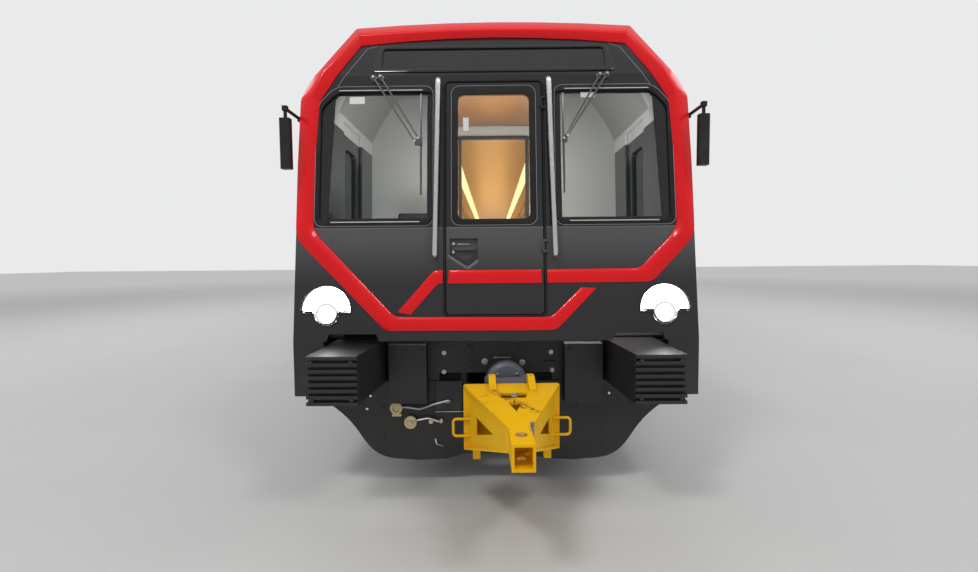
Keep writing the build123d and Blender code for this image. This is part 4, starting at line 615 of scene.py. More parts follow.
def mirrored(obj, axis=0):
    scale = [1, 1, 1]
    scale[axis] = -1
    twin = copyOf(obj, Matrix.Diagonal((*scale, 1)))
    twin.data.flip_normals()
    return twin


def acrossCar(pieces):  # the pieces taken to the other side of the car
    made = [mirrored(piece) for piece in pieces]
    for piece in pieces:
        bpy.data.objects.remove(piece)
    return made


def fuse(pieces):
    rest()
    for piece in pieces:
        piece.select_set(True)
    bpy.context.view_layer.objects.active = pieces[0]
    if len(pieces) > 1:
        bpy.ops.object.join()
    return bpy.context.view_layer.objects.active


def finish(pieces, name, paint, bodyName="carbody", both=False, angle=35):
    pieces = list(pieces)
    if both:
        pieces += [mirrored(piece) for piece in list(pieces)]
    obj = fuse(pieces)
    obj.name = obj.data.name = name
    obj.data.materials.clear()
    obj.data.materials.append(paints[paint])
    pick(obj)
    bpy.ops.object.shade_smooth_by_angle(angle=math.radians(angle))
    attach(obj, bodyName)
    rest()
    return obj


def repeated(pieces, steps, plane=None):  # copies of the pieces at each step, the first ones used up
    made = [place(moved(piece, *step), plane) for step in steps for piece in pieces]
    for piece in pieces:
        bpy.data.objects.remove(piece)
    return made


def bolts(places, radius, height, plane=None, sides=6):  # hexagon heads on washers
    head = turned([(radius * 1.45, 0), (radius * 1.45, height * 0.25), (radius * 1.02, height * 0.3)], 16)
    hexagon = turned([(radius, height * 0.25), (radius, height * 0.9), (radius * 0.85, height)], sides)
    return repeated([head, hexagon], places, plane)


# the raked front
print("front")
# red ribbon: rows of outer edge, ridge and inner edge up the face, its corners rounded
ribbon = {"edge": 0.007, "steps": 8,
          "inner end": [((-0.597, 0.186), (-0.668, 0.199), (-0.692, 0.204), 0.015, 0),
                        ((-0.403, 0.407), (-0.427, 0.477), (-0.434, 0.501), 0.015, 0.045),
                        ((-0.3712, 0.406), (-0.3712, 0.477), (-0.3712, 0.501), 0.015, 0)],
          "door": [((-0.335, 0.405), (-0.322, 0.477), (-0.330, 0.501), 0.009, 0),
                   ((-0.318, 0.405), (-0.308, 0.477), (-0.314, 0.501), 0.015, 0),
                   ((0.318, 0.405), (0.308, 0.477), (0.314, 0.501), 0.015, 0),
                   ((0.335, 0.405), (0.322, 0.477), (0.330, 0.501), 0.009, 0)],
          "outside": [((0.3712, 0.406), (0.3712, 0.477), (0.3712, 0.502), 0.015, 0),
                      ((1.114, 0.407), (1.072, 0.484), (1.030, 0.506), 0.016, 0.050),
                      ((1.428, 0.737), (1.351, 0.784), (1.304, 0.793), 0.034, 0.085),
                      ((1.428, 1.280), (1.355, 1.272), (1.300, 1.280), 0.042, 0.10),
                      ((1.418, 1.778), (1.318, 1.797), (1.275, 1.755), 0.044, 0.030)]}
ribbon["outside"].append(((1.322, 1.950), (1.240, 1.950), (1.158, 1.950), 0.048, 0))
for share in (1, 0.66, 0.33, 0, -0.33, -0.66, -1):
    arch = 1 - share ** 2
    ribbon["outside"].append(((1.063 * share, 2.447 + 0.055 * arch), (1.014 * share, 2.324 + 0.042 * arch),
                              (1.006 * share, 2.257 + 0.076 * arch), 0.050, 0.012))
ribbon["outside"] += [((-outer[0], outer[1]), (-ridge[0], ridge[1]), (-inner[0], inner[1]), crest, radius)
                      for outer, ridge, inner, crest, radius in reversed(ribbon["outside"][2:6])]
ribbon["outside"] += [((-0.777, 0.072), (-0.734, 0.146), (-0.710, 0.170), 0.016, 0.045),
                      ((0.431, 0.071), (0.404, 0.142), (0.397, 0.164), 0.015, 0.045),
                      ((0.717, 0.366), (0.636, 0.370), (0.609, 0.372), 0.015, 0)]


def onFront(x, v, h):
    return browPlane @ Vector((x, v - car["browV"], h)) if v > car["browV"] else facePlane @ Vector((x, v, h))


def ribbonRow(outer, ridge, inner, crest):
    first, top, last = Vector((*outer, ribbon["edge"])), Vector((*ridge, crest)), Vector((*inner, ribbon["edge"]))
    low = Vector((0, 0, fit - ribbon["edge"]))
    return [first + low, first, top.lerp(first, 0.07), top.lerp(last, 0.12), last, last + low]


def bendRows(table):  # rows along the ribbon, each corner turned in small steps
    rows = [ribbonRow(*station[:4]) for station in table]
    made = [rows[0]]
    for before, row, after, station in zip(rows, rows[1:], rows[2:], table[1:]):
        radius = station[4]
        if not radius:
            made.append(row)
            continue
        for step in range(ribbon["steps"] + 1):
            share = step / ribbon["steps"]
            turnedRow = []
            for near, corner, far in zip(before, row, after):
                start = corner.lerp(near, min(0.45, radius / (near - corner).length))
                stop = corner.lerp(far, min(0.45, radius / (far - corner).length))
                turnedRow.append(start.lerp(corner, share).lerp(corner.lerp(stop, share), share))
            made.append(turnedRow)
    return made + [rows[-1]]


def ribbonPiece(table):
    rows = bendRows(table)
    across = len(rows[0])
    points = [onFront(*point) for row in rows for point in row]
    faces = []
    for start in range(0, len(points) - across, across):
        for near in range(across):
            beside = (near + 1) % across
            faces.append([start + near, start + beside, start + across + beside, start + across + near])
    faces += [list(range(across)), list(range(len(points) - across, len(points)))]
    mesh = bpy.data.meshes.new("ribbon")
    mesh.from_pydata(points, [], faces)
    piece = bpy.data.objects.new("ribbon", mesh)
    bpy.context.scene.collection.objects.link(piece)
    outward(piece)
    soften(piece, 0.0028, 2, 22)
    return piece


maskRibbon = finish([ribbonPiece(ribbon["inner end"]), ribbonPiece(ribbon["outside"])], "maskRibbon", "red",
                    angle=24)
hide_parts("mask_rim")
doorRibbon = finish([ribbonPiece(ribbon["door"])], "doorRibbon", "red", "front_door", angle=24)
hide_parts("front_door_band")

screen = {"inner": [(0.450, 0.864), (1.264, 0.864), (1.264, 1.701), (1.151, 1.822), (0.450, 1.822)],
          "bead": [(0.445, 0.824), (1.296, 0.824), (1.296, 1.719), (1.164, 1.864), (0.445, 1.864)],
          "outer": [(0.441, 0.820), (1.300, 0.820), (1.300, 1.720), (1.166, 1.868), (0.441, 1.868)],
          "radii": (0.040, 0.06), "trims": [(0.540, 1.180, 0.853), (0.520, 1.135, 1.836)]}
finish([collar(screen["inner"], screen["outer"], -0.003, 0.008, screen["radii"], 0.004, 3, facePlane)],
       "windscreenFrames", "rubber", both=True)
finish([box((x0, v - 0.003, 0.006), (x1, v + 0.003, 0.0095), 0.001, 1, facePlane)
        for x0, x1, v in screen["trims"]], "windscreenTrims", "white", both=True)
# painted highlight: thin light grey beads around the windscreen frames stand in for the highlight along the
# frames' edges
finish([collar(screen["bead"], screen["outer"], 0.005, 0.0095, (0.057, 0.06), 0.001, 1, facePlane)],
       "windscreenBeadHighlights", "bead", both=True)

doorPane = square(-0.312, 0.308, 0.822, 1.866)
finish([collar(square(-0.2635, 0.2595, 0.8705, 1.7960), doorPane, -0.003, 0.007, (0.041, 0.06), 0.004, 3,
               facePlane)], "doorWindowFrame", "rubber", "front_door")
# painted highlight: a light grey bead around the door window frame stands in for the highlight along its edge
finish([collar(square(-0.308, 0.304, 0.826, 1.862), doorPane, 0.005, 0.0085, (0.057, 0.06), 0.001, 1, facePlane)],
       "doorWindowBeadHighlight", "bead", "front_door")
finish([collar(square(-0.3545, 0.3545, 0.1785, 1.8975), square(-0.3705, 0.3705, 0.1625, 1.9135), -0.004, 0.005,
               (0.036, 0.05), 0.003, 2, facePlane)], "frontDoorSeal", "rubber")
trims = [pipe([(-0.335, v, 0.001), (-0.205, v - 0.086, 0.001), (-0.190, v - 0.088, 0.001),
               (-0.122, v - 0.040, 0.001)], 0.0022, 0.02, 2, facePlane) for v in (0.612, 0.600)]
finish(trims, "handleTrim", "bead", "front_door")
shades = [[(-0.335, 0.612), (-0.198, 0.522), (-0.190, 0.560), (-0.322, 0.620)],
          [(-0.198, 0.522), (-0.121, 0.575), (-0.121, 0.660), (-0.190, 0.560)]]
finish([plate(outline, fit, 0.0008, 0, 0, 1, facePlane) for outline in shades], "handleShade", "display",
       "front_door")
finish([collar(square(-0.335, 0.335, 0.200, 1.876), square(-0.385, 0.385, 0.150, 1.930), -0.066, -0.058,
               (0.03, 0.05), 0.002, 1, facePlane)], "frontDoorStop", "rubber")
barrels = repeated([turned([(0.011, -0.028), (0.011, -0.014), (0.008, -0.012)], 18)],
                   [(-0.297, 0.694, 0), (-0.297, 0.632, 0)], facePlane)
studs = repeated([turned([(0.0035, -0.014), (0.0035, -0.006), (0.002, -0.0045)], 10)],
                 [(-0.300, 0.702, 0), (-0.312, 0.690, 0), (-0.284, 0.690, 0)], facePlane)
latch = box((-0.268, 0.687, -0.009), (-0.178, 0.692, -0.005), 0.002, 2, facePlane)
finish(barrels + studs + [latch], "doorLatch", "bolt", "front_door")

displayRim = [(-0.902, 0.030), (0.902, 0.030), (0.866, 0.300), (-0.866, 0.300)]
finish([collar(square(-0.831, 0.831, 0.059, 0.271), displayRim, -0.004, 0.010, (0.02, 0.03), 0.006, 3,
               browPlane)], "displayFrame", "display")
cells = {"columns": 44, "rows": 7, "pitch": 0.026, "half": 0.0045}
dot = plate(square(-cells["half"], cells["half"], -cells["half"], cells["half"]), -0.0042, -0.0035, 0.003, 0)
finish(repeated([dot], [((column - cells["columns"] / 2 + 0.5) * cells["pitch"], 0.087 + row * cells["pitch"], 0)
                        for column in range(cells["columns"]) for row in range(cells["rows"])], browPlane),
       "displayDots", "desk")

# seam of the black panel, parallel to the ribbon, drawn as a light grey bar: a painted highlight along the seam
seamHighlightBars = []
for side in (-1, 1):
    path = [(side * x, v) for x, v in ((1.150, 1.868), (1.098, 1.9499), (0.960, 2.225), (0.880, 2.262))]
    for start, stop in zip(path, path[1:]):
        seamHighlightBars.append(bar(onFront(*start, 0.0), onFront(*stop, 0.0), 0.0022, 6))
finish(seamHighlightBars, "panelSeamHighlights", "bead")

# headlamps: a half-round lamp with a low round one under it
lamp = {"x": 1.196, "v": 0.222, "chord": 0.200, "radius": 0.1725, "lowRadius": 0.088, "drop": 0.027,
        "spots": [(-0.12, 0.045), (-0.045, 0.05), (0.045, 0.05), (0.12, 0.045), (-0.08, 0.115), (0, 0.125),
                  (0.08, 0.115)]}


def lampBlock(grow, low, high):
    rest()
    bpy.ops.mesh.primitive_cylinder_add(vertices=56, radius=lamp["radius"] + grow, depth=high - low,
                                        location=(lamp["x"], lamp["v"], (low + high) / 2))
    upper = bpy.context.object
    settle(upper)
    edit(upper)
    bpy.ops.mesh.bisect(plane_co=(0, lamp["chord"] - grow, 0), plane_no=(0, -1, 0), clear_outer=True,
                        use_fill=True)
    lower = bar((lamp["x"], lamp["v"] - lamp["drop"], low), (lamp["x"], lamp["v"] - lamp["drop"], high),
                lamp["lowRadius"] + grow, 40)
    return combine(upper, lower, "UNION")


def roundOutline(x, y, radius, sides=24):
    turns = [2 * math.pi * step / sides for step in range(sides)]
    return [(x + radius * math.cos(turn), y + radius * math.sin(turn)) for turn in turns]


bezel = combine(lampBlock(0.006, -0.006, 0.006), lampBlock(-0.001, -0.02, 0.03), "DIFFERENCE")
soften(bezel, 0.003, 2)
finish([place(bezel, facePlane)], "lampBezels", "display", both=True)
lowSpot = (lamp["x"], lamp["v"] - 0.032, 0)
spots = [(lamp["x"] + across, lamp["v"] + rise, 0) for across, rise in lamp["spots"]]
cups = repeated([turned([(0.006, -0.0235), (0.0255, -0.0225), (0.031, -0.010), (0.034, -0.0095)], 24)], spots,
                facePlane)
lowCup = turned([(0.012, -0.0235), (0.045, -0.022), (0.066, -0.008), (0.074, -0.0075)], 30, facePlane, lowSpot)
# painted light: the reflector cups and back plate glow as if lit by the lamp
finish([place(lampBlock(-0.003, -0.0295, -0.024), facePlane)] + cups + [lowCup], "lampReflectors", "lampInsidePaintedGlow",
       both=True)
emitters = repeated([turned([(0.024, -0.018), (0.022, -0.012), (0.010, -0.009)], 20)], spots, facePlane)
emitters.append(turned([(0.043, -0.018), (0.040, -0.012), (0.018, -0.008)], 26, facePlane, lowSpot))
emitters.append(place(lampBlock(-0.0035, -0.0072, -0.0042), facePlane))
finish(emitters, "lampEmitters", "beam", both=True)
lowMiddle = (lamp["x"], lamp["v"] - lamp["drop"] - 0.004)
# painted light: the rings glow as if lit by the lamp
finish([collar(roundOutline(*lowMiddle, 0.062), roundOutline(*lowMiddle, 0.0835), -0.0036, -0.0022, (0, 0), 0, 1,
               facePlane)], "lampRings", "lampInsidePaintedGlow", both=True)
cover = lampBlock(-0.0005, 0.000, 0.005)
soften(cover, 0.003, 3)
lampCovers = finish([place(cover, facePlane)], "lampCovers", "lampCover", both=True)
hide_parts("headlamps")

# grab rails, bent into the face at both ends
rails = []
for low, high in ((-0.423, -0.402), (0.427, 0.398)):
    rails.append(pipe([(low, 0.600, 0.0), (low, 0.600, 0.060), (high, 1.893, 0.060), (high, 1.893, 0.0)], 0.0205,
                      0.05, 4, facePlane))
grabRails = finish(rails, "grabRails", "steel", angle=60)
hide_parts("front_grab_rails")

# wipers, each a pantograph of two arms with a blade
wiperParts, wiperLips, wiperNuts = [], [], []
wiperTable = [{"pivots": ((-0.880, 1.925), (-0.828, 1.930)), "mount": (-0.560, 1.440),
               "blade": (-0.530, 1.060, 1.800)},
              {"pivots": ((0.778, 1.930), (0.830, 1.935)), "mount": (0.520, 1.450),
               "blade": (0.505, 1.070, 1.800)}]
pivotNut = [(0.010, 0.034), (0.010, 0.040), (0.006, 0.043)]
jointNut = [(0.009, 0.034), (0.009, 0.038), (0.005, 0.040)]
for wiper in wiperTable:
    mountX, mountV = wiper["mount"]
    bladeX, bladeLow, bladeHigh = wiper["blade"]
    for index, (pivotX, pivotV) in enumerate(wiper["pivots"]):
        joint = (mountX - 0.014 + 0.028 * index, mountV + 0.02 * index, 0.030)
        wiperParts.append(turned([(0.024, 0.0006), (0.024, 0.010), (0.017, 0.014), (0.017, 0.034)], 18, facePlane,
                                 (pivotX, pivotV, 0)))
        reach = Vector((joint[0] - pivotX, joint[1] - pivotV, 0))
        turn = Matrix.Translation((pivotX, pivotV, 0.030)) @ reach.to_track_quat("X", "Z").to_matrix().to_4x4()
        wiperParts.append(plate([(-0.01, -0.0075), (reach.length + 0.012, -0.004), (reach.length + 0.012, 0.004),
                                 (-0.01, 0.0075)], -0.003, 0.004, 0.003, 0.0015, 1, facePlane @ turn))
        wiperNuts += [turned(pivotNut, 6, facePlane, (pivotX, pivotV, 0)),
                      turned(jointNut, 6, facePlane, (*joint[:2], 0))]
    wiperParts.append(box((min(mountX, bladeX) - 0.012, mountV - 0.030, 0.018),
                          (max(mountX, bladeX) + 0.012, mountV + 0.034, 0.030), 0.004, 2, facePlane))
    wiperParts.append(box((bladeX - 0.006, bladeLow, 0.013), (bladeX + 0.006, bladeHigh, 0.021), 0.003, 2,
                          facePlane))
    for share in (0.2, 0.4, 0.6, 0.8):
        v = bladeLow + share * (bladeHigh - bladeLow)
        wiperParts.append(box((bladeX - 0.009, v - 0.012, 0.009), (bladeX + 0.009, v + 0.012, 0.019), 0.003, 2,
                              facePlane))
    wiperLips.append(box((bladeX - 0.004, bladeLow - 0.008, -0.008), (bladeX + 0.004, bladeHigh + 0.008, 0.013),
                         0.0012, 1, facePlane))
wipers = finish(wiperParts, "wiperArms", "arm")
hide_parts("wipers")
finish(wiperNuts, "wiperNuts", "bolt")
finish(wiperLips, "wiperLips", "rubber")

# blank inspection labels on the glass
labels = {"labelsOnScreens": ("carbody", [(-1.062, -0.950, 1.742, 1.795), (0.640, 0.745, 1.775, 1.815)]),
          "labelOnDoorGlass": ("front_door", [(-0.225, -0.185, 1.53, 1.63)])}
for name, (bodyName, outlines) in labels.items():
    finish([plate(square(*outline), -0.0095, -0.0085, 0.004, 0, 1, facePlane) for outline in outlines], name,
           "white", bodyName)

# mirror glass on the back of each housing
finish([box((1.464 - 0.030, -8.3155, 2.385), (1.464 + 0.030, -8.3125, 2.705), 0.001, 1)], "mirrorGlass", "chrome",
       both=True)

# anti-climber, apron and headstock fixings
headstock = leaning((0, car["headstockY"], 0), 0)
fixings = bolts([(-0.391, 1.013, 0), (-0.393, 0.867, 0), (0.422, 1.015, 0), (0.430, 0.877, 0)], 0.012, 0.016,
                headstock)
fixings += bolts([(-0.081, 0.944, 0), (0.203, 0.934, 0)], 0.017, 0.020, headstock)
fixings += [box((-0.018, 0.974, fit), (0.118, 0.984, 0.024), 0.002, 1, headstock)]
finish(fixings, "headstockBolts", "bolt")
pads = bolts([(-0.186, 0.927, 0), (-0.192, 1.045, 0), (0.203, 1.045, 0)], 0.026, 0.014, headstock)
pads += [box((0.372, 0.938, 0), (0.456, 0.950, 0.018), 0.003, 1, headstock)]
pads += repeated([turned([(0.013, 0), (0.013, 0.006), (0.010, 0.008)], 6)],
                 [(x, z, 0.1103) for x in (0.545, 0.757) for z in (0.70, 1.055)], headstock)
pads += [mirrored(pad) for pad in pads[-4:]]
finish(pads, "headstockPads", "underframe")
rims = [box((0.512, 1.0953, 0.014), (0.790, 1.0983, 0.110), 0.001, 1, headstock)]
finish(rims, "headstockPlateRims", "bolt", both=True)
skirtBolts = ((0.50, 0.60), (0.62, 0.60), (0.86, 0.60), (1.02, 0.62), (0.86, 0.36), (0.70, 0.30))
finish(bolts([(x, z, 0.014) for x, z in skirtBolts], 0.008, 0.008, headstock), "apronBolts", "apron",
       both=True)
finish([box((-0.463, 0.5605, 0.0143), (-0.245, 0.5665, 0.022), 0.001, 1, headstock)], "apronLip", "bolt")
plugs = [box((0.268, 0.56, 0.0), (0.463, 0.7995, 0.012), 0.003, 1, headstock)]
finish(plugs, "couplerPocketPlates", "underframe", both=True)

climberFace = leaning((0, -8.815, 0), 0)
finish(bolts([(x, z, fit) for x in (0.905, 1.155) for z in (0.850, 1.085)], 0.010, 0.010, climberFace),
       "climberBolts", "climber", both=True)

# brake couplings and pipes at the right of the coupler
fittings = leaning((0, -8.19, 0), 0)
lines = [pipe([(-0.745, 0.600, -0.02), (-0.686, 0.615, 0.014), (-0.573, 0.597, 0.012), (-0.470, 0.632, 0.010),
               (-0.355, 0.662, 0.012), (-0.335, 0.640, -0.01), (-0.40, 0.628, -0.05)], 0.009, 0.03, 3, fittings),
         pipe([(-0.640, 0.492, 0.0), (-0.600, 0.510, 0.014), (-0.513, 0.527, 0.014), (-0.43, 0.50, 0.014)],
              0.008, 0.03, 3, fittings),
         pipe([(-0.463, 0.357, -0.013), (-0.450, 0.325, 0.010), (-0.403, 0.303, -0.013)],
              0.006, 0.02, 3, fittings)]
finish(lines, "brakePipes", "bolt")
coupling = turned([(0.020, -0.030), (0.046, -0.020), (0.050, 0.002), (0.044, 0.014), (0.030, 0.016),
                   (0.026, 0.004)], 24)
couplings = repeated([coupling], [(-0.754, 0.603, 0), (-0.648, 0.490, 0)], fittings)
couplings += [box((-0.786, 0.540, -0.014), (-0.716, 0.562, 0.012), 0.004, 2, fittings),
              turned([(0.017, -0.02), (0.020, 0.0), (0.016, 0.016)], 16, fittings, (-0.491, 0.500, 0)),
              turned([(0.014, -0.02), (0.016, 0.0), (0.010, 0.014)], 16, fittings, (-0.415, 0.498, 0))]
finish(couplings, "brakeCouplings", "cream")
finish([turned([(0.013, 0.0), (0.013, 0.008), (0.009, 0.012)], 12, leaning((0, -8.160, 0), 0), (x, z, 0))
        for x, z in ((-0.953, 0.691), (-0.982, 0.590), (0.859, 0.703))], "apronStuds", "steel")

# tow adapter and coupler fittings, turned with the coupler
print("coupler")
topSlope = Matrix.Rotation(math.atan(0.065 / 0.6557), 4, "X")
topFace = adapterFrame @ Matrix.Translation((0, -0.0283, 0.145)) @ topSlope
eyeRing = ringOf(0.021, 0.0065, topFace, (0.004, -0.198, 0.004), 28)
finish([eyeRing], "adapterRing", "steel", "coupler")
welds = [bar((side * 0.2915, -0.0310, -0.285), (side * 0.2915, -0.0310, 0.135), 0.005, 8, 0, adapterFrame)
         for side in (1, -1)]
welds += [bar((-0.285, -0.0300, -0.2995), (0.285, -0.0300, -0.2995), 0.005, 8, 0, adapterFrame),
          bar((-0.060, -0.6845, 0.0805), (0.060, -0.6845, 0.0805), 0.004, 8, 0, adapterFrame)]
welds += [bar((side * 0.0605, -0.6850, -0.058), (side * 0.0605, -0.6850, 0.078), 0.004, 8, 0, adapterFrame)
          for side in (1, -1)]
finish(welds, "adapterWelds", "yellow", "coupler", angle=60)
finish([ringOf(0.0295, 0.003, adapterFrame, (0, -0.790, z)) for z in (0.0805, -0.0605)], "towPinRims", "bolt",
       "coupler")
headFace = couplerFrame @ leaning((0, -0.816, 0), 0)
finish(bolts([(x, z, fit) for x, z in ((-0.070, 0.160), (0.070, 0.160), (-0.095, 0.098), (0.095, 0.098))], 0.008,
             0.008, headFace), "couplerNuts", "bolt", "coupler")

# sides: window rubbers, doorways, buttons, rails
print("sides")
waist = car["waistZ"]


def windowRubber(middle, half, z0, z1, low, high, plane=wallPlane):
    v0, v1 = z0 - waist, z1 - waist
    return collar(square(middle - half + 0.010, middle + half - 0.010, v0 + 0.010, v1 - 0.010),
                  square(middle - half - 0.013, middle + half + 0.013, v0 - 0.013, v1 + 0.013), low, high,
                  (0.062, 0.080), 0.0025, 2, plane)


rubbers = [windowRubber(y, car["windowHalf"], 1.93, 2.79, -0.0115, 0.0035) for y in car["windowY"]]
rubbers.append(windowRubber(*car["endWindow"], 1.93, 2.79, -0.0115, 0.0035))
finish(rubbers, "sideWindowRubbers", "rubber", both=True)

doorWindows = {"fore": -0.328, "aft": 0.328}
for side in ("left", "right"):
    def toSide(pieces, flip=(side == "right")):
        return acrossCar(pieces) if flip else pieces

    finish(toSide([windowRubber(*car["cabWindow"], 1.99, 2.74, -0.0345, -0.0245)]), "cabWindowRubber_" + side,
           "rubber", "cab_door_" + side)
    handle = [collar(square(-6.985, -6.925, 1.62, 1.74), square(-6.993, -6.917, 1.612, 1.748), -0.0275, -0.0240,
                     (0.02, 0.026), 0.001, 1, skirtPlane),
              turned([(0.014, -0.0275), (0.014, -0.0245), (0.009, -0.0238)], 18, skirtPlane, (-6.955, 1.80, 0)),
              box((-6.972, 1.64, -0.0275), (-6.938, 1.72, -0.0245), 0.001, 1, skirtPlane)]
    finish(toSide(handle), "cabDoorHandle_" + side, "bolt", "cab_door_" + side)
    for end, shift in doorWindows.items():
        bodyName = "doors_" + side + "_" + end
        lowEdge, highEdge = sorted((math.copysign(0.0034, shift), math.copysign(0.026, shift)))
        leaf = [windowRubber(shift, 0.2, 1.99, 2.74, -0.0345, -0.0245),
                box((lowEdge, 1.145, -0.028), (highEdge, 2.049, -0.0245), 0.001, 1, skirtPlane),
                box((lowEdge, 0.0, -0.028), (highEdge, 0.905, -0.0245), 0.001, 1, wallPlane)]
        finish(toSide(repeated(leaf, [(0, y, 0) for y in car["doorY"]])), "leafRubbers_" + side + "_" + end,
               "rubber", bodyName)
    button = turned([(0.030, -0.0275), (0.030, -0.0235), (0.024, -0.0225)], 28, wallPlane, (0.072, 0.10, 0))
    ring = ringOf(0.0308, 0.0020, wallPlane, (0.072, 0.10, -0.0258), 28)
    for piece, label, paint in ((button, "doorButtons_", "bolt"), (ring, "doorButtonRings_", "green")):
        finish(toSide(repeated([piece], [(0, y, 0) for y in car["doorY"]])), label + side, paint,
               "doors_" + side + "_aft")

frames = []
for sign in (-1, 1):
    near, far = sorted((sign * 0.6505, sign * 0.676))
    frames += [box((near, 1.112, -0.003), (far, 2.0495, 0.0035), 0.001, 1, skirtPlane),
               box((near, 0.0, -0.003), (far, 0.925, 0.0035), 0.001, 1, wallPlane)]
frames += [box((-0.676, 0.9015, -0.003), (0.676, 0.925, 0.0035), 0.001, 1, wallPlane),
           box((-0.676, 1.098, -0.090), (0.676, 1.1268, 0.010), 0.002, 1, skirtPlane)]
finish(repeated(frames, [(0, y, 0) for y in car["doorY"]]), "doorwayFrames", "steel", both=True)
domes = repeated([turned([(0.034, -0.004), (0.034, 0.006), (0.028, 0.014), (0.014, 0.019)], 24, lampPlane)],
                 [(0, y, 0) for y in car["doorY"]])
finish(domes, "doorLamps", "amber", both=True)
finish([box((-7.60, 0.930, -0.002), (9.02, 0.942, 0.016), 0.003, 2, wallPlane)], "rainGutters", "body",
       both=True)
rails = [pipe([(y, 1.26, 0.0), (y, 1.26, 0.052), (y, 1.99, 0.052), (y, 1.99, 0.0)], 0.014, 0.03, 3, skirtPlane)
         for y in (-7.62, -6.76)]
rails += [turned([(0.030, fit), (0.030, 0.005), (0.020, 0.010)], 20, skirtPlane, (y, z, 0))
          for y in (-7.62, -6.76) for z in (1.26, 1.99)]
rails += [pipe([(1.345, -7.40, 0.92), (1.345, -7.40, 0.40), (1.345, -6.97, 0.40), (1.345, -6.97, 0.92)],
               0.012, 0.03, 3),
          bar((1.345, -7.40, 0.66), (1.345, -6.97, 0.66), 0.012, 12)]
finish(rails, "cabDoorRails", "steel", both=True)
finish([box((-7.475, 1.098, -0.085), (-6.895, 1.1268, 0.008), 0.002, 1, skirtPlane)], "cabDoorSills", "steel",
       both=True)
jacks = [box((y - 0.14, 0.775, fit), (y + 0.14, 0.875, 0.010), 0.003, 2, skirtPlane) for y in (-3.45, 3.85)]
jacks += bolts([(y + dy, z, 0.010) for y in (-3.45, 3.85) for dy in (-0.11, 0.11) for z in (0.80, 0.85)], 0.009,
               0.008, skirtPlane)
finish(jacks, "jackingPads", "apron", both=True)

# underfloor: case locks and hinges, reservoir bands, pipes
print("underfloor")
caseTable = [{"side": 1, "y": (-2.965, -0.915), "low": 0.43, "doors": 4},
             {"side": 1, "y": (-0.715, 1.235), "low": 0.40, "doors": 3},
             {"side": 1, "y": (1.435, 3.635), "low": 0.45, "doors": 4},
             {"side": -1, "y": (-2.965, -1.365), "low": 0.45, "doors": 3},
             {"side": -1, "y": (-1.165, 0.235), "low": 0.42, "doors": 2},
             {"side": -1, "y": (2.335, 3.635), "low": 0.43, "doors": 2}]
casePlane = sidePlane(0, 1.306, 0)
caseLocks, caseHandles = [], []
for case in caseTable:
    pitch = (case["y"][1] - case["y"][0] - 0.045) / case["doors"]
    for index in range(case["doors"]):
        start = case["y"][0] + 0.045 + index * pitch
        middle, hingeZ = start + (pitch - 0.045) / 2, case["low"] + 0.145
        made = [turned([(0.020, 0.0), (0.020, 0.006), (0.012, 0.0085)], 18, casePlane, (y, 0.855, 0))
                for y in (middle - 0.16, middle + 0.16)]
        made += [bar((y - 0.04, hingeZ, 0.007), (y + 0.04, hingeZ, 0.007), 0.006, 10, 0, casePlane)
                 for y in (middle - 0.15, middle + 0.15)]
        pull = pipe([(middle - 0.055, 0.70, 0.0), (middle - 0.055, 0.70, 0.0085), (middle + 0.055, 0.70, 0.0085),
                     (middle + 0.055, 0.70, 0.0)], 0.005, 0.006, 2, casePlane)
        for piece, shelf in [(one, caseLocks) for one in made] + [(pull, caseHandles)]:
            if case["side"] < 0:
                twin = mirrored(piece)
                bpy.data.objects.remove(piece)
                piece = twin
            shelf.append(piece)
finish(caseLocks, "caseLocks", "bolt")
finish(caseHandles, "caseHandles", "black")
tanks = []
for x in (-0.76, -1.09):
    tankPlane = Matrix(((1, 0, 0, x), (0, 0, -1, 0), (0, 1, 0, 0.70), (0, 0, 0, 1)))
    for y in (0.785, 1.785):
        tanks.append(turned([(0.1503, -0.02), (0.1535, -0.018), (0.1535, 0.018), (0.1503, 0.02)], 40, tankPlane,
                            (0, 0, -y)))
    for y, sign in ((0.535, 1), (2.035, -1)):
        tanks.append(turned([(0.149, -0.001 * sign), (0.140, 0.018 * sign), (0.110, 0.034 * sign),
                             (0.060, 0.045 * sign), (0.020, 0.048 * sign)], 32, tankPlane, (0, 0, -y)))
finish(tanks, "reservoirBands", "case")
runs = [pipe([(x, -4.60, 0.94), (x, 0.5, 0.94), (x + 0.05, 2.0, 0.94), (x + 0.05, 5.2, 0.94)], 0.014, 0.3, 2)
        for x in (-0.30, -0.24, 0.34)]
tankPipes = [[(-0.76, 1.30, 0.85), (-0.76, 1.30, 0.90), (-0.45, 1.30, 0.92), (-0.30, 1.30, 0.94)],
             [(-1.09, 1.36, 0.85), (-1.09, 1.36, 0.91), (-0.60, 1.36, 0.91)]]
runs += [pipe(route, 0.011, 0.03, 2) for route in tankPipes]
finish(runs, "brakePipeRuns", "bolt")

# bogies: axle-box covers, coils, dampers, brake shoes, pipes
print("bogies")


def fourWays(pieces):
    pieces = list(pieces) + [mirrored(piece, 1) for piece in pieces]
    return pieces + [mirrored(piece) for piece in pieces]


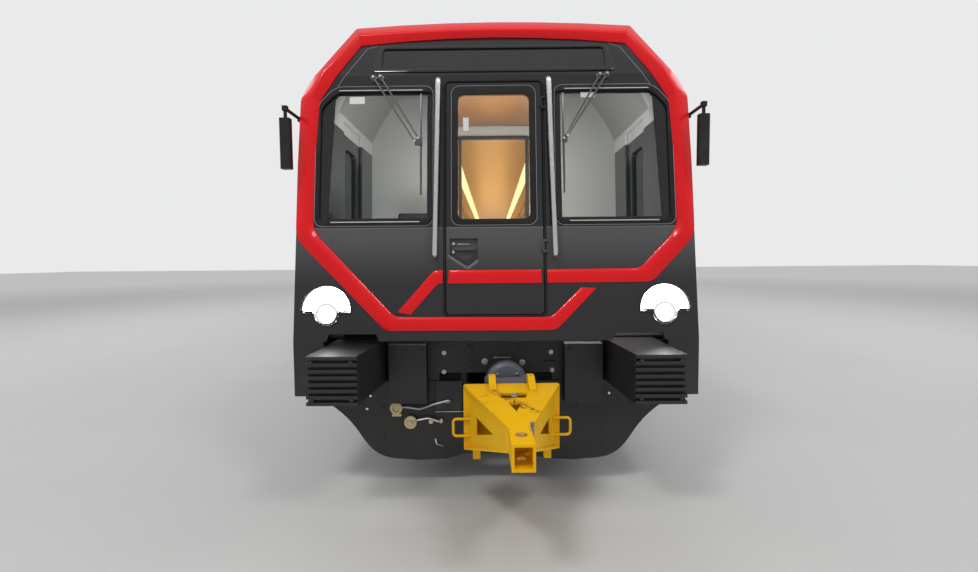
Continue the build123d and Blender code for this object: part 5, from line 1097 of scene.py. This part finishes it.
axle = {"y": 1.075, "z": 0.448, "boxX": 1.115}
boxPlane = sidePlane(0, axle["boxX"], 0)
coverSet = [turned([(0.098, fit), (0.098, 0.010), (0.078, 0.018), (0.040, 0.022), (0.034, 0.030),
                    (0.020, 0.032)], 32, boxPlane, (axle["y"], axle["z"], 0))]
coverSet += bolts([(axle["y"] + 0.084 * math.cos(turn), axle["z"] + 0.084 * math.sin(turn), 0.010)
                   for turn in [math.pi * (0.25 + 0.5 * step) for step in range(4)]], 0.009, 0.010, boxPlane)
coil = {"x": 1.0, "radius": 0.068, "wire": 0.010, "low": 0.492, "rise": 0.0044, "steps": 33}
coils = []
for middle in (axle["y"] - 0.19, axle["y"] + 0.19):
    turns = []
    for step in range(coil["steps"]):
        turn = step * math.pi / 4
        turns.append((coil["x"] + coil["radius"] * math.cos(turn), middle + coil["radius"] * math.sin(turn),
                      coil["low"] + coil["rise"] * step))
    coils.append(pipe(turns, coil["wire"], 0, 1, smooth=3))
    coils.append(turned([(0.084, 0.481), (0.084, 0.488), (0.070, 0.490)], 24, None, (coil["x"], middle, 0)))
dampers = [turned([(0.020, 0.46), (0.020, 0.54), (0.034, 0.545), (0.034, 0.66), (0.014, 0.665), (0.014, 0.69)],
                  18, None, (1.150, axle["y"] - 0.16, 0)),
           box((1.086, axle["y"] - 0.185, 0.668), (1.172, axle["y"] - 0.135, 0.692), 0.004, 2),
           box((1.100, axle["y"] - 0.185, 0.438), (1.172, axle["y"] - 0.135, 0.462), 0.004, 2)]
shoes = [box((0.700, 0.5925, 0.395), (0.798, 0.640, 0.505), 0.008, 2),
         box((0.730, 0.560, 0.430), (0.770, 0.596, 0.470), 0.004, 1)]
bags = [turned([(0.262, 0.702), (0.285, 0.715), (0.292, 0.745), (0.285, 0.775), (0.266, 0.790), (0.285, 0.806),
                (0.292, 0.835), (0.285, 0.865), (0.262, 0.880), (0.262, 0.900)], 44, None, (1.0, 0, 0))]
guards = [box((0.705, 1.470, 0.130), (0.800, 1.492, 0.560), 0.005, 2),
          box((0.705, 1.425, 0.545), (1.060, 1.492, 0.600), 0.006, 2),
          box((0.930, 1.400, 0.590), (1.060, 1.440, 0.660), 0.004, 1)]
airLines = [pipe([(1.06, -1.25, 0.716), (1.06, -0.30, 0.716), (0.86, -0.30, 0.716), (0.86, 0.30, 0.716),
                  (1.06, 0.30, 0.716), (1.06, 1.25, 0.716)], 0.010, 0.05, 2),
            pipe([(0.86, -0.10, 0.716), (0.745, -0.30, 0.70), (0.745, -0.50, 0.575)], 0.008, 0.05, 2)]
bogieSets = [("axleBoxCovers", fourWays(coverSet), "bogie", "bogie_paint", 35),
             ("coilSprings", fourWays(coils), "bogie", "bogie_paint", 50),
             ("primaryDampers", fourWays(dampers), "black", "arm_black", 35),
             ("brakeShoes", fourWays(shoes), "bogie", "bogie_paint", 35),
             ("airSpringBags", bags + [mirrored(bag) for bag in bags], "spring", "spring_rubber", 50),
             ("bogieAirLines", airLines + [mirrored(line) for line in airLines], "bolt", "rail_steel", 50)]
for name, pieces, paint, slotName, angle in bogieSets:
    for end, y in car["bogieY"].items():
        copies = [moved(piece, 0, y, 0) for piece in pieces]
        finish(copies, name + "_" + end, paint, "bogie_" + end, angle=angle)
    for piece in pieces:
        bpy.data.objects.remove(piece)
leading = repeated([mirrored(guard, 1) for guard in guards], [(0, car["bogieY"]["front"], 0)])
for guard in guards:
    bpy.data.objects.remove(guard)
finish(leading, "railGuards", "bogie", "bogie_front", both=True)

# roof: fan guards, ribs, aerial
print("roof")
fanY = (-4.215, -2.915, 3.785, 5.085)
guard = [ringOf(radius, 0.0026, None, (0, 0, 3.6866), 36) for radius in (0.09, 0.13, 0.17, 0.21, 0.25, 0.29)]
guard += [bar((0.082 * math.cos(turn), 0.082 * math.sin(turn), 3.6862),
              (0.318 * math.cos(turn), 0.318 * math.sin(turn), 3.6862), 0.0036, 8)
          for turn in [math.pi * step / 6 for step in range(12)]]
finish(repeated(guard, [(0, y, 0) for y in fanY]), "fanGuards", "bolt")
blade = box((0.085, -0.045, 3.654), (0.295, 0.045, 3.658), 0.001, 1)
blades = [copyOf(blade, Matrix.Rotation(math.pi * step / 3.5, 4, "Z")) for step in range(7)]
bpy.data.objects.remove(blade)
finish(repeated(blades, [(0, y, 0) for y in fanY]), "fanBlades", "black")
lids = []
for unitY in (-3.565, 4.435):
    for y in (unitY - 1.22, unitY + 1.22, unitY):
        half = 0.20 if y != unitY else 0.24
        lids.append(plate(square(-0.50, 0.50, y - half, y + half), 3.6898 - 0.004, 3.6898, 0.02, 0.0015, 1))
        if y != unitY:
            lids += repeated([turned([(0.013, 3.686), (0.013, 3.6896), (0.008, 3.6899)], 12)],
                             [(x, y + dy, 0) for x in (-0.47, 0.47) for dy in (-0.17, 0.17)])
finish(lids, "roofUnitLids", "unit")


def roofZ(x):
    return 3.565 - 0.05 * (x / 1.063) ** 2


betweenUnits = ((-7.5, -5.12), (-2.0, 2.88), (5.99, 9.0))
ribs = []
for x, stretches in ((0.32, betweenUnits), (0.64, betweenUnits), (0.95, ((-7.5, 9.0),))):
    ribs += [box((x - 0.014, y0, roofZ(x) - 0.004), (x + 0.014, y1, roofZ(x) + 0.006), 0.003, 1)
             for y0, y1 in stretches]
finish(ribs, "roofRibs", "roof", both=True)
aerial = [turned([(0.085, 3.558), (0.085, 3.572), (0.060, 3.580), (0.030, 3.600), (0.022, 3.655), (0.010, 3.668)],
                 28, None, (0, -6.7, 0)),
          box((-0.10, -6.42, 3.560), (0.10, -6.20, 3.585), 0.008, 2)]
finish(aerial, "roofAerial", "black")

# rear end
print("rear end")
gangway = [collar(square(-0.836, 0.836, 0.992, 3.216), square(-0.880, 0.880, 0.948, 3.260), fit, 0.012,
                  (0.10, 0.14), 0.002, 1, rearPlane)]
gangway += bolts([(x, z, 0.012) for x in (-0.858, 0.858) for z in (1.15, 1.55, 1.95, 2.35, 2.75, 3.10)]
                 + [(x, 3.238, 0.012) for x in (-0.5, 0.0, 0.5)], 0.009, 0.009, rearPlane)
gangway += [collar(square(-0.708, 0.708, 1.120, 3.088), square(-0.772, 0.772, 1.056, 3.152), 0.3003, 0.322,
                   (0.06, 0.09), 0.003, 2, rearPlane)]
finish(gangway, "gangwayFrames", "bolt")
endBoxes = [box((0.985, 0.905, fit), (1.235, 1.085, 0.105), 0.006, 2, rearPlane),
            box((1.02, 1.62, fit), (1.26, 1.92, 0.060), 0.006, 2, rearPlane)]
endBoxes += [mirrored(piece) for piece in endBoxes]
finish(endBoxes, "jumperBoxes", "case")
sockets = repeated([turned([(0.046, 0.105), (0.046, 0.125), (0.034, 0.140), (0.030, 0.160)], 26)],
                   [(1.05, 0.985, 0), (1.17, 0.985, 0)], rearPlane)
finish(sockets, "jumperSockets", "black", both=True)
steps = [pipe([(1.30, z, 0.0), (1.30, z, 0.07), (1.10, z, 0.07), (1.10, z, 0.0)], 0.012, 0.03, 3, rearPlane)
         for z in (1.28, 2.10, 2.45, 2.80)]
finish(steps, "endHandholds", "steel", both=True)
doorPlates = [plate(square(-0.68, 0.68, 9.02, 9.40), 1.1285, 1.1315, 0.0, 0.001, 1)]
finish(doorPlates, "gangwayTread", "bolt")

# inside: lamps, seat shells, desk, driver's seat
print("inside")
tube = {"start": -6.32, "pitch": 1.9, "length": 1.82, "count": 8}
tubes = []
for step in range(tube["count"]):
    start = tube["start"] + tube["pitch"] * step
    tubes.append(box((0.485, start, 3.158), (0.615, start + tube["length"], 3.1697), 0.003, 1))
finish(tubes, "ceilingLamps", "warm", both=True)
seatShell = plate(square(-0.205, 0.205, 0, 0.34), 0, 0.010, 0.06, 0.003, 2)
backShell = plate(square(-0.205, 0.205, 0.03, 0.38), 0, 0.010, 0.06, 0.003, 2)
seatPlane = Matrix(((0, -1, 0, 1.245), (1, 0, 0, 0), (0, 0, 1, 1.567), (0, 0, 0, 1)))
backPlane = Matrix(((0, 0.0975, -0.9952, 1.243), (1, 0, 0, 0), (0, 0.9952, 0.0975, 1.562), (0, 0, 0, 1)))
shells = [place(copyOf(shell, Matrix()), plane)
          for shell, plane in ((seatShell, seatPlane), (backShell, backPlane))]
for shell in (seatShell, backShell):
    bpy.data.objects.remove(shell)
shells = repeated(shells, [(0, y + 0.455 * step, 0) for y in car["windowY"] for step in (-2, -1, 0, 1, 2)])
for shell in shells:
    outward(shell)
finish(shells, "seatShells", "seat", both=True)
finish([bar((0.82, y - 1.15, 2.98), (0.82, y + 1.15, 2.98), 0.015, 14) for y in car["windowY"]],
       "handRailsInside", "steel", both=True)
finish([collar(square(-0.345, 0.345, 1.130, 3.014), square(-0.385, 0.385, 1.128, 3.055), fit, 0.012,
               (0.02, 0.03), 0.003, 2, leaning((0, -6.485, 0), 0))], "partitionDoorFrame", "desk")
finish([box((-0.42, -7.53, 3.150), (0.42, -6.53, 3.168), 0.004, 2)], "cabCeilingPanel", "tan")
deskTop = Matrix.Translation((0, -7.775, 1.9202)) @ Matrix.Rotation(math.radians(-19.1), 4, "X")
deskScreens = ((-1.15, -0.93), (-0.90, -0.68), (-0.65, -0.45))
finish([box((x0, 0.045, fit), (x1, 0.195, 0.012), 0.004, 2, deskTop) for x0, x1 in deskScreens], "deskScreens",
       "screen")
lever = [turned([(0.030, 0.0), (0.030, 0.010), (0.012, 0.014), (0.010, 0.070), (0.020, 0.078), (0.020, 0.100),
                 (0.012, 0.106)], 20, deskTop, (-0.56, 0.235, 0))]
lever += repeated([turned([(0.008, 0.0), (0.008, 0.008), (0.005, 0.010)], 12)],
                  [(-1.12 + 0.035 * step, 0.225, 0) for step in range(12)], deskTop)
finish(lever, "deskControls", "black")

seat = {"x": -0.8, "y": -7.015}


def stuffed(low, high, swell, plane):  # padded block, swollen by a short cloth simulation
    pad = box(low, high, 0.022, 4)
    modify(pad, "REMESH", mode="VOXEL", voxel_size=0.009)
    start = [vertex.co.copy() for vertex in pad.data.vertices]
    pick(pad)
    cloth = pad.modifiers.new("cloth", "CLOTH")
    cloth.settings.use_pressure = True
    cloth.settings.uniform_pressure_force = 4
    cloth.settings.tension_stiffness = cloth.settings.compression_stiffness = 30
    cloth.settings.effector_weights.gravity = 0
    cloth.point_cache.frame_end = 20
    for step in range(1, 21):
        bpy.context.scene.frame_set(step)
    bpy.ops.object.modifier_apply(modifier="cloth")
    bpy.context.scene.frame_set(1)
    for vertex, was in zip(pad.data.vertices, start):
        gone = vertex.co - was
        if gone.length > swell:
            vertex.co = was + gone.normalized() * swell
    modify(pad, "SUBSURF", levels=1, render_levels=1)
    return place(pad, plane)


print("driver's seat")
backTilt = Matrix.Translation((seat["x"], seat["y"] + 0.205, 1.72)) @ Matrix.Rotation(math.radians(82), 4, "X")
pads = [stuffed((-0.215, -0.235, 0.0), (0.215, 0.175, 0.080), 0.014,
                Matrix.Translation((seat["x"], seat["y"], 1.568))),
        stuffed((-0.190, 0.02, -0.026), (0.190, 0.50, 0.034), 0.012, backTilt)]
driverPads = finish(pads, "driverSeatPads", "cloth", angle=80)
frameParts = [turned([(0.198, 1.1285), (0.198, 1.146), (0.160, 1.158), (0.062, 1.163), (0.058, 1.40),
                      (0.075, 1.41), (0.075, 1.53)], 32, None, (seat["x"], seat["y"], 0)),
              box((seat["x"] - 0.20, seat["y"] - 0.20, 1.530), (seat["x"] + 0.20, seat["y"] + 0.17, 1.5625),
                  0.010, 2),
              box((seat["x"] - 0.19, seat["y"] + 0.235, 1.60), (seat["x"] + 0.19, seat["y"] + 0.262, 2.20),
                  0.012, 2)]
finish(frameParts, "driverSeatFrame", "black")
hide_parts("driver_seat")

print("camera and light")
# camera fitted to the photograph
view = {"at": (-0.01643, -11.76604, 1.72106), "yaw": -0.00777, "pitch": -0.05528, "roll": -0.00796,
        "focal": 480.0}
ahead = Vector((math.sin(view["yaw"]) * math.cos(view["pitch"]), math.cos(view["yaw"]) * math.cos(view["pitch"]),
                math.sin(view["pitch"])))
level = Vector((math.cos(view["yaw"]), -math.sin(view["yaw"]), 0))
upright = level.cross(ahead)
across = level * math.cos(view["roll"]) + upright * math.sin(view["roll"])
up = upright * math.cos(view["roll"]) - level * math.sin(view["roll"])
lens = bpy.data.cameras.new("camera")
lens.sensor_width, lens.lens, lens.clip_end = 36, 36 * view["focal"] / 978, 300
camera = bpy.data.objects.new("camera", lens)
bpy.context.scene.collection.objects.link(camera)
camera.matrix_world = Matrix(((across.x, up.x, -ahead.x, view["at"][0]),
                              (across.y, up.y, -ahead.y, view["at"][1]),
                              (across.z, up.z, -ahead.z, view["at"][2]), (0, 0, 0, 1)))
bpy.context.scene.camera = camera

lamps = {"frontKey": {"at": (-4.5, -15.5, 13.0), "aim": (0, -8.4, 2.0), "size": (3, 2), "watts": 500},
         "frontFill": {"at": (5.5, -14.5, 12.0), "aim": (0, -8.4, 1.8), "size": (3, 2), "watts": 300},
         "leftSide": {"at": (12, -1, 11), "aim": (0, 0, 1.6), "size": (14, 4), "watts": 620},
         "rightSide": {"at": (-12, 1, 11), "aim": (0, 0, 1.6), "size": (14, 4), "watts": 620},
         "rearKey": {"at": (3, 17, 11), "aim": (0, 9, 1.8), "size": (5, 3), "watts": 380},
         "cabGlow": {"at": (0, -7.20, 1.80), "aim": (0, -6.7, 3.2), "size": (0.4, 0.4), "watts": 9,
                     "tint": (1, 0.62, 0.38)},
         "cabLeft": {"at": (0.85, -7.45, 1.60), "aim": (0.8, -6.9, 3.2), "size": (0.7, 0.4), "watts": 14,
                     "tint": (1, 0.97, 0.92)},
         "cabRight": {"at": (-0.85, -7.45, 1.60), "aim": (-0.8, -6.9, 3.2), "size": (0.7, 0.4), "watts": 14,
                      "tint": (1, 0.97, 0.92)},
         "cabLamp": {"at": (0, -7.75, 2.95), "aim": (0, -6.5, 2.2), "size": (2.2, 0.2), "watts": 22,
                     "tint": (1, 0.98, 0.95)}}
for index in range(4):
    y = -4.4 + 3.7 * index
    lamps["saloonGlow" + str(index)] = {"at": (0, y, 1.3), "aim": (0, y + 0.01, 3.2), "size": (1.0, 3.4),
                                        "watts": 34 + 14 * index, "tint": (1, 0.50, 0.16)}
for name, lampRow in lamps.items():
    data = bpy.data.lights.new(name, "AREA")
    data.shape, (data.size, data.size_y), data.energy = "RECTANGLE", lampRow["size"], lampRow["watts"]
    data.color = lampRow.get("tint", (1, 1, 1))
    light = bpy.data.objects.new(name, data)
    bpy.context.scene.collection.objects.link(light)
    light.location = lampRow["at"]
    light.rotation_euler = (Vector(lampRow["aim"]) - Vector(lampRow["at"])).to_track_quat("-Z", "Y").to_euler()
    light.visible_camera = False

# pale studio: light to the camera, dimmer in what it throws on the car
studio = {"seen": 0.88, "cast": 0.58, "colour": (0.93, 0.935, 0.94, 1), "floorSize": 160, "floorZ": -0.0005}
sky = bpy.data.worlds.new("studio")
bpy.context.scene.world = sky
sky.use_nodes = True
nodes, links = sky.node_tree.nodes, sky.node_tree.links
rays, strength = nodes.new("ShaderNodeLightPath"), nodes.new("ShaderNodeMath")
strength.operation = "MULTIPLY_ADD"
links.new(rays.outputs["Is Camera Ray"], strength.inputs[0])
strength.inputs[1].default_value = studio["seen"] - studio["cast"]
strength.inputs[2].default_value = studio["cast"]
nodes["Background"].inputs[0].default_value = studio["colour"]
links.new(strength.outputs[0], nodes["Background"].inputs[1])

rest()
bpy.ops.mesh.primitive_plane_add(size=studio["floorSize"], location=(0, 0, studio["floorZ"]))
ground = bpy.context.object
settle(ground)
ground.name = "studioFloor"
s = Shader("studioFloorPaint")
# painted light: the floor is painted lighter far from the car, where the lamps reach less, so that it fades into
# the backdrop
away = s.node("ShaderNodeVectorMath", {"operation": "LENGTH"}, {0: s.place}, "Value")
nearby = s.mix(s.noise(0.7, 4), colour(0.56, 0.56, 0.555), colour(0.60, 0.60, 0.595))
floorColour = s.mix(s.step(away, 9, 42), nearby, colour(0.95, 0.95, 0.945))
ground.data.materials.append(s.paint(colour=floorColour, rough=0.8, specular=0.2))
bpy.context.scene.view_settings.view_transform = "Standard"
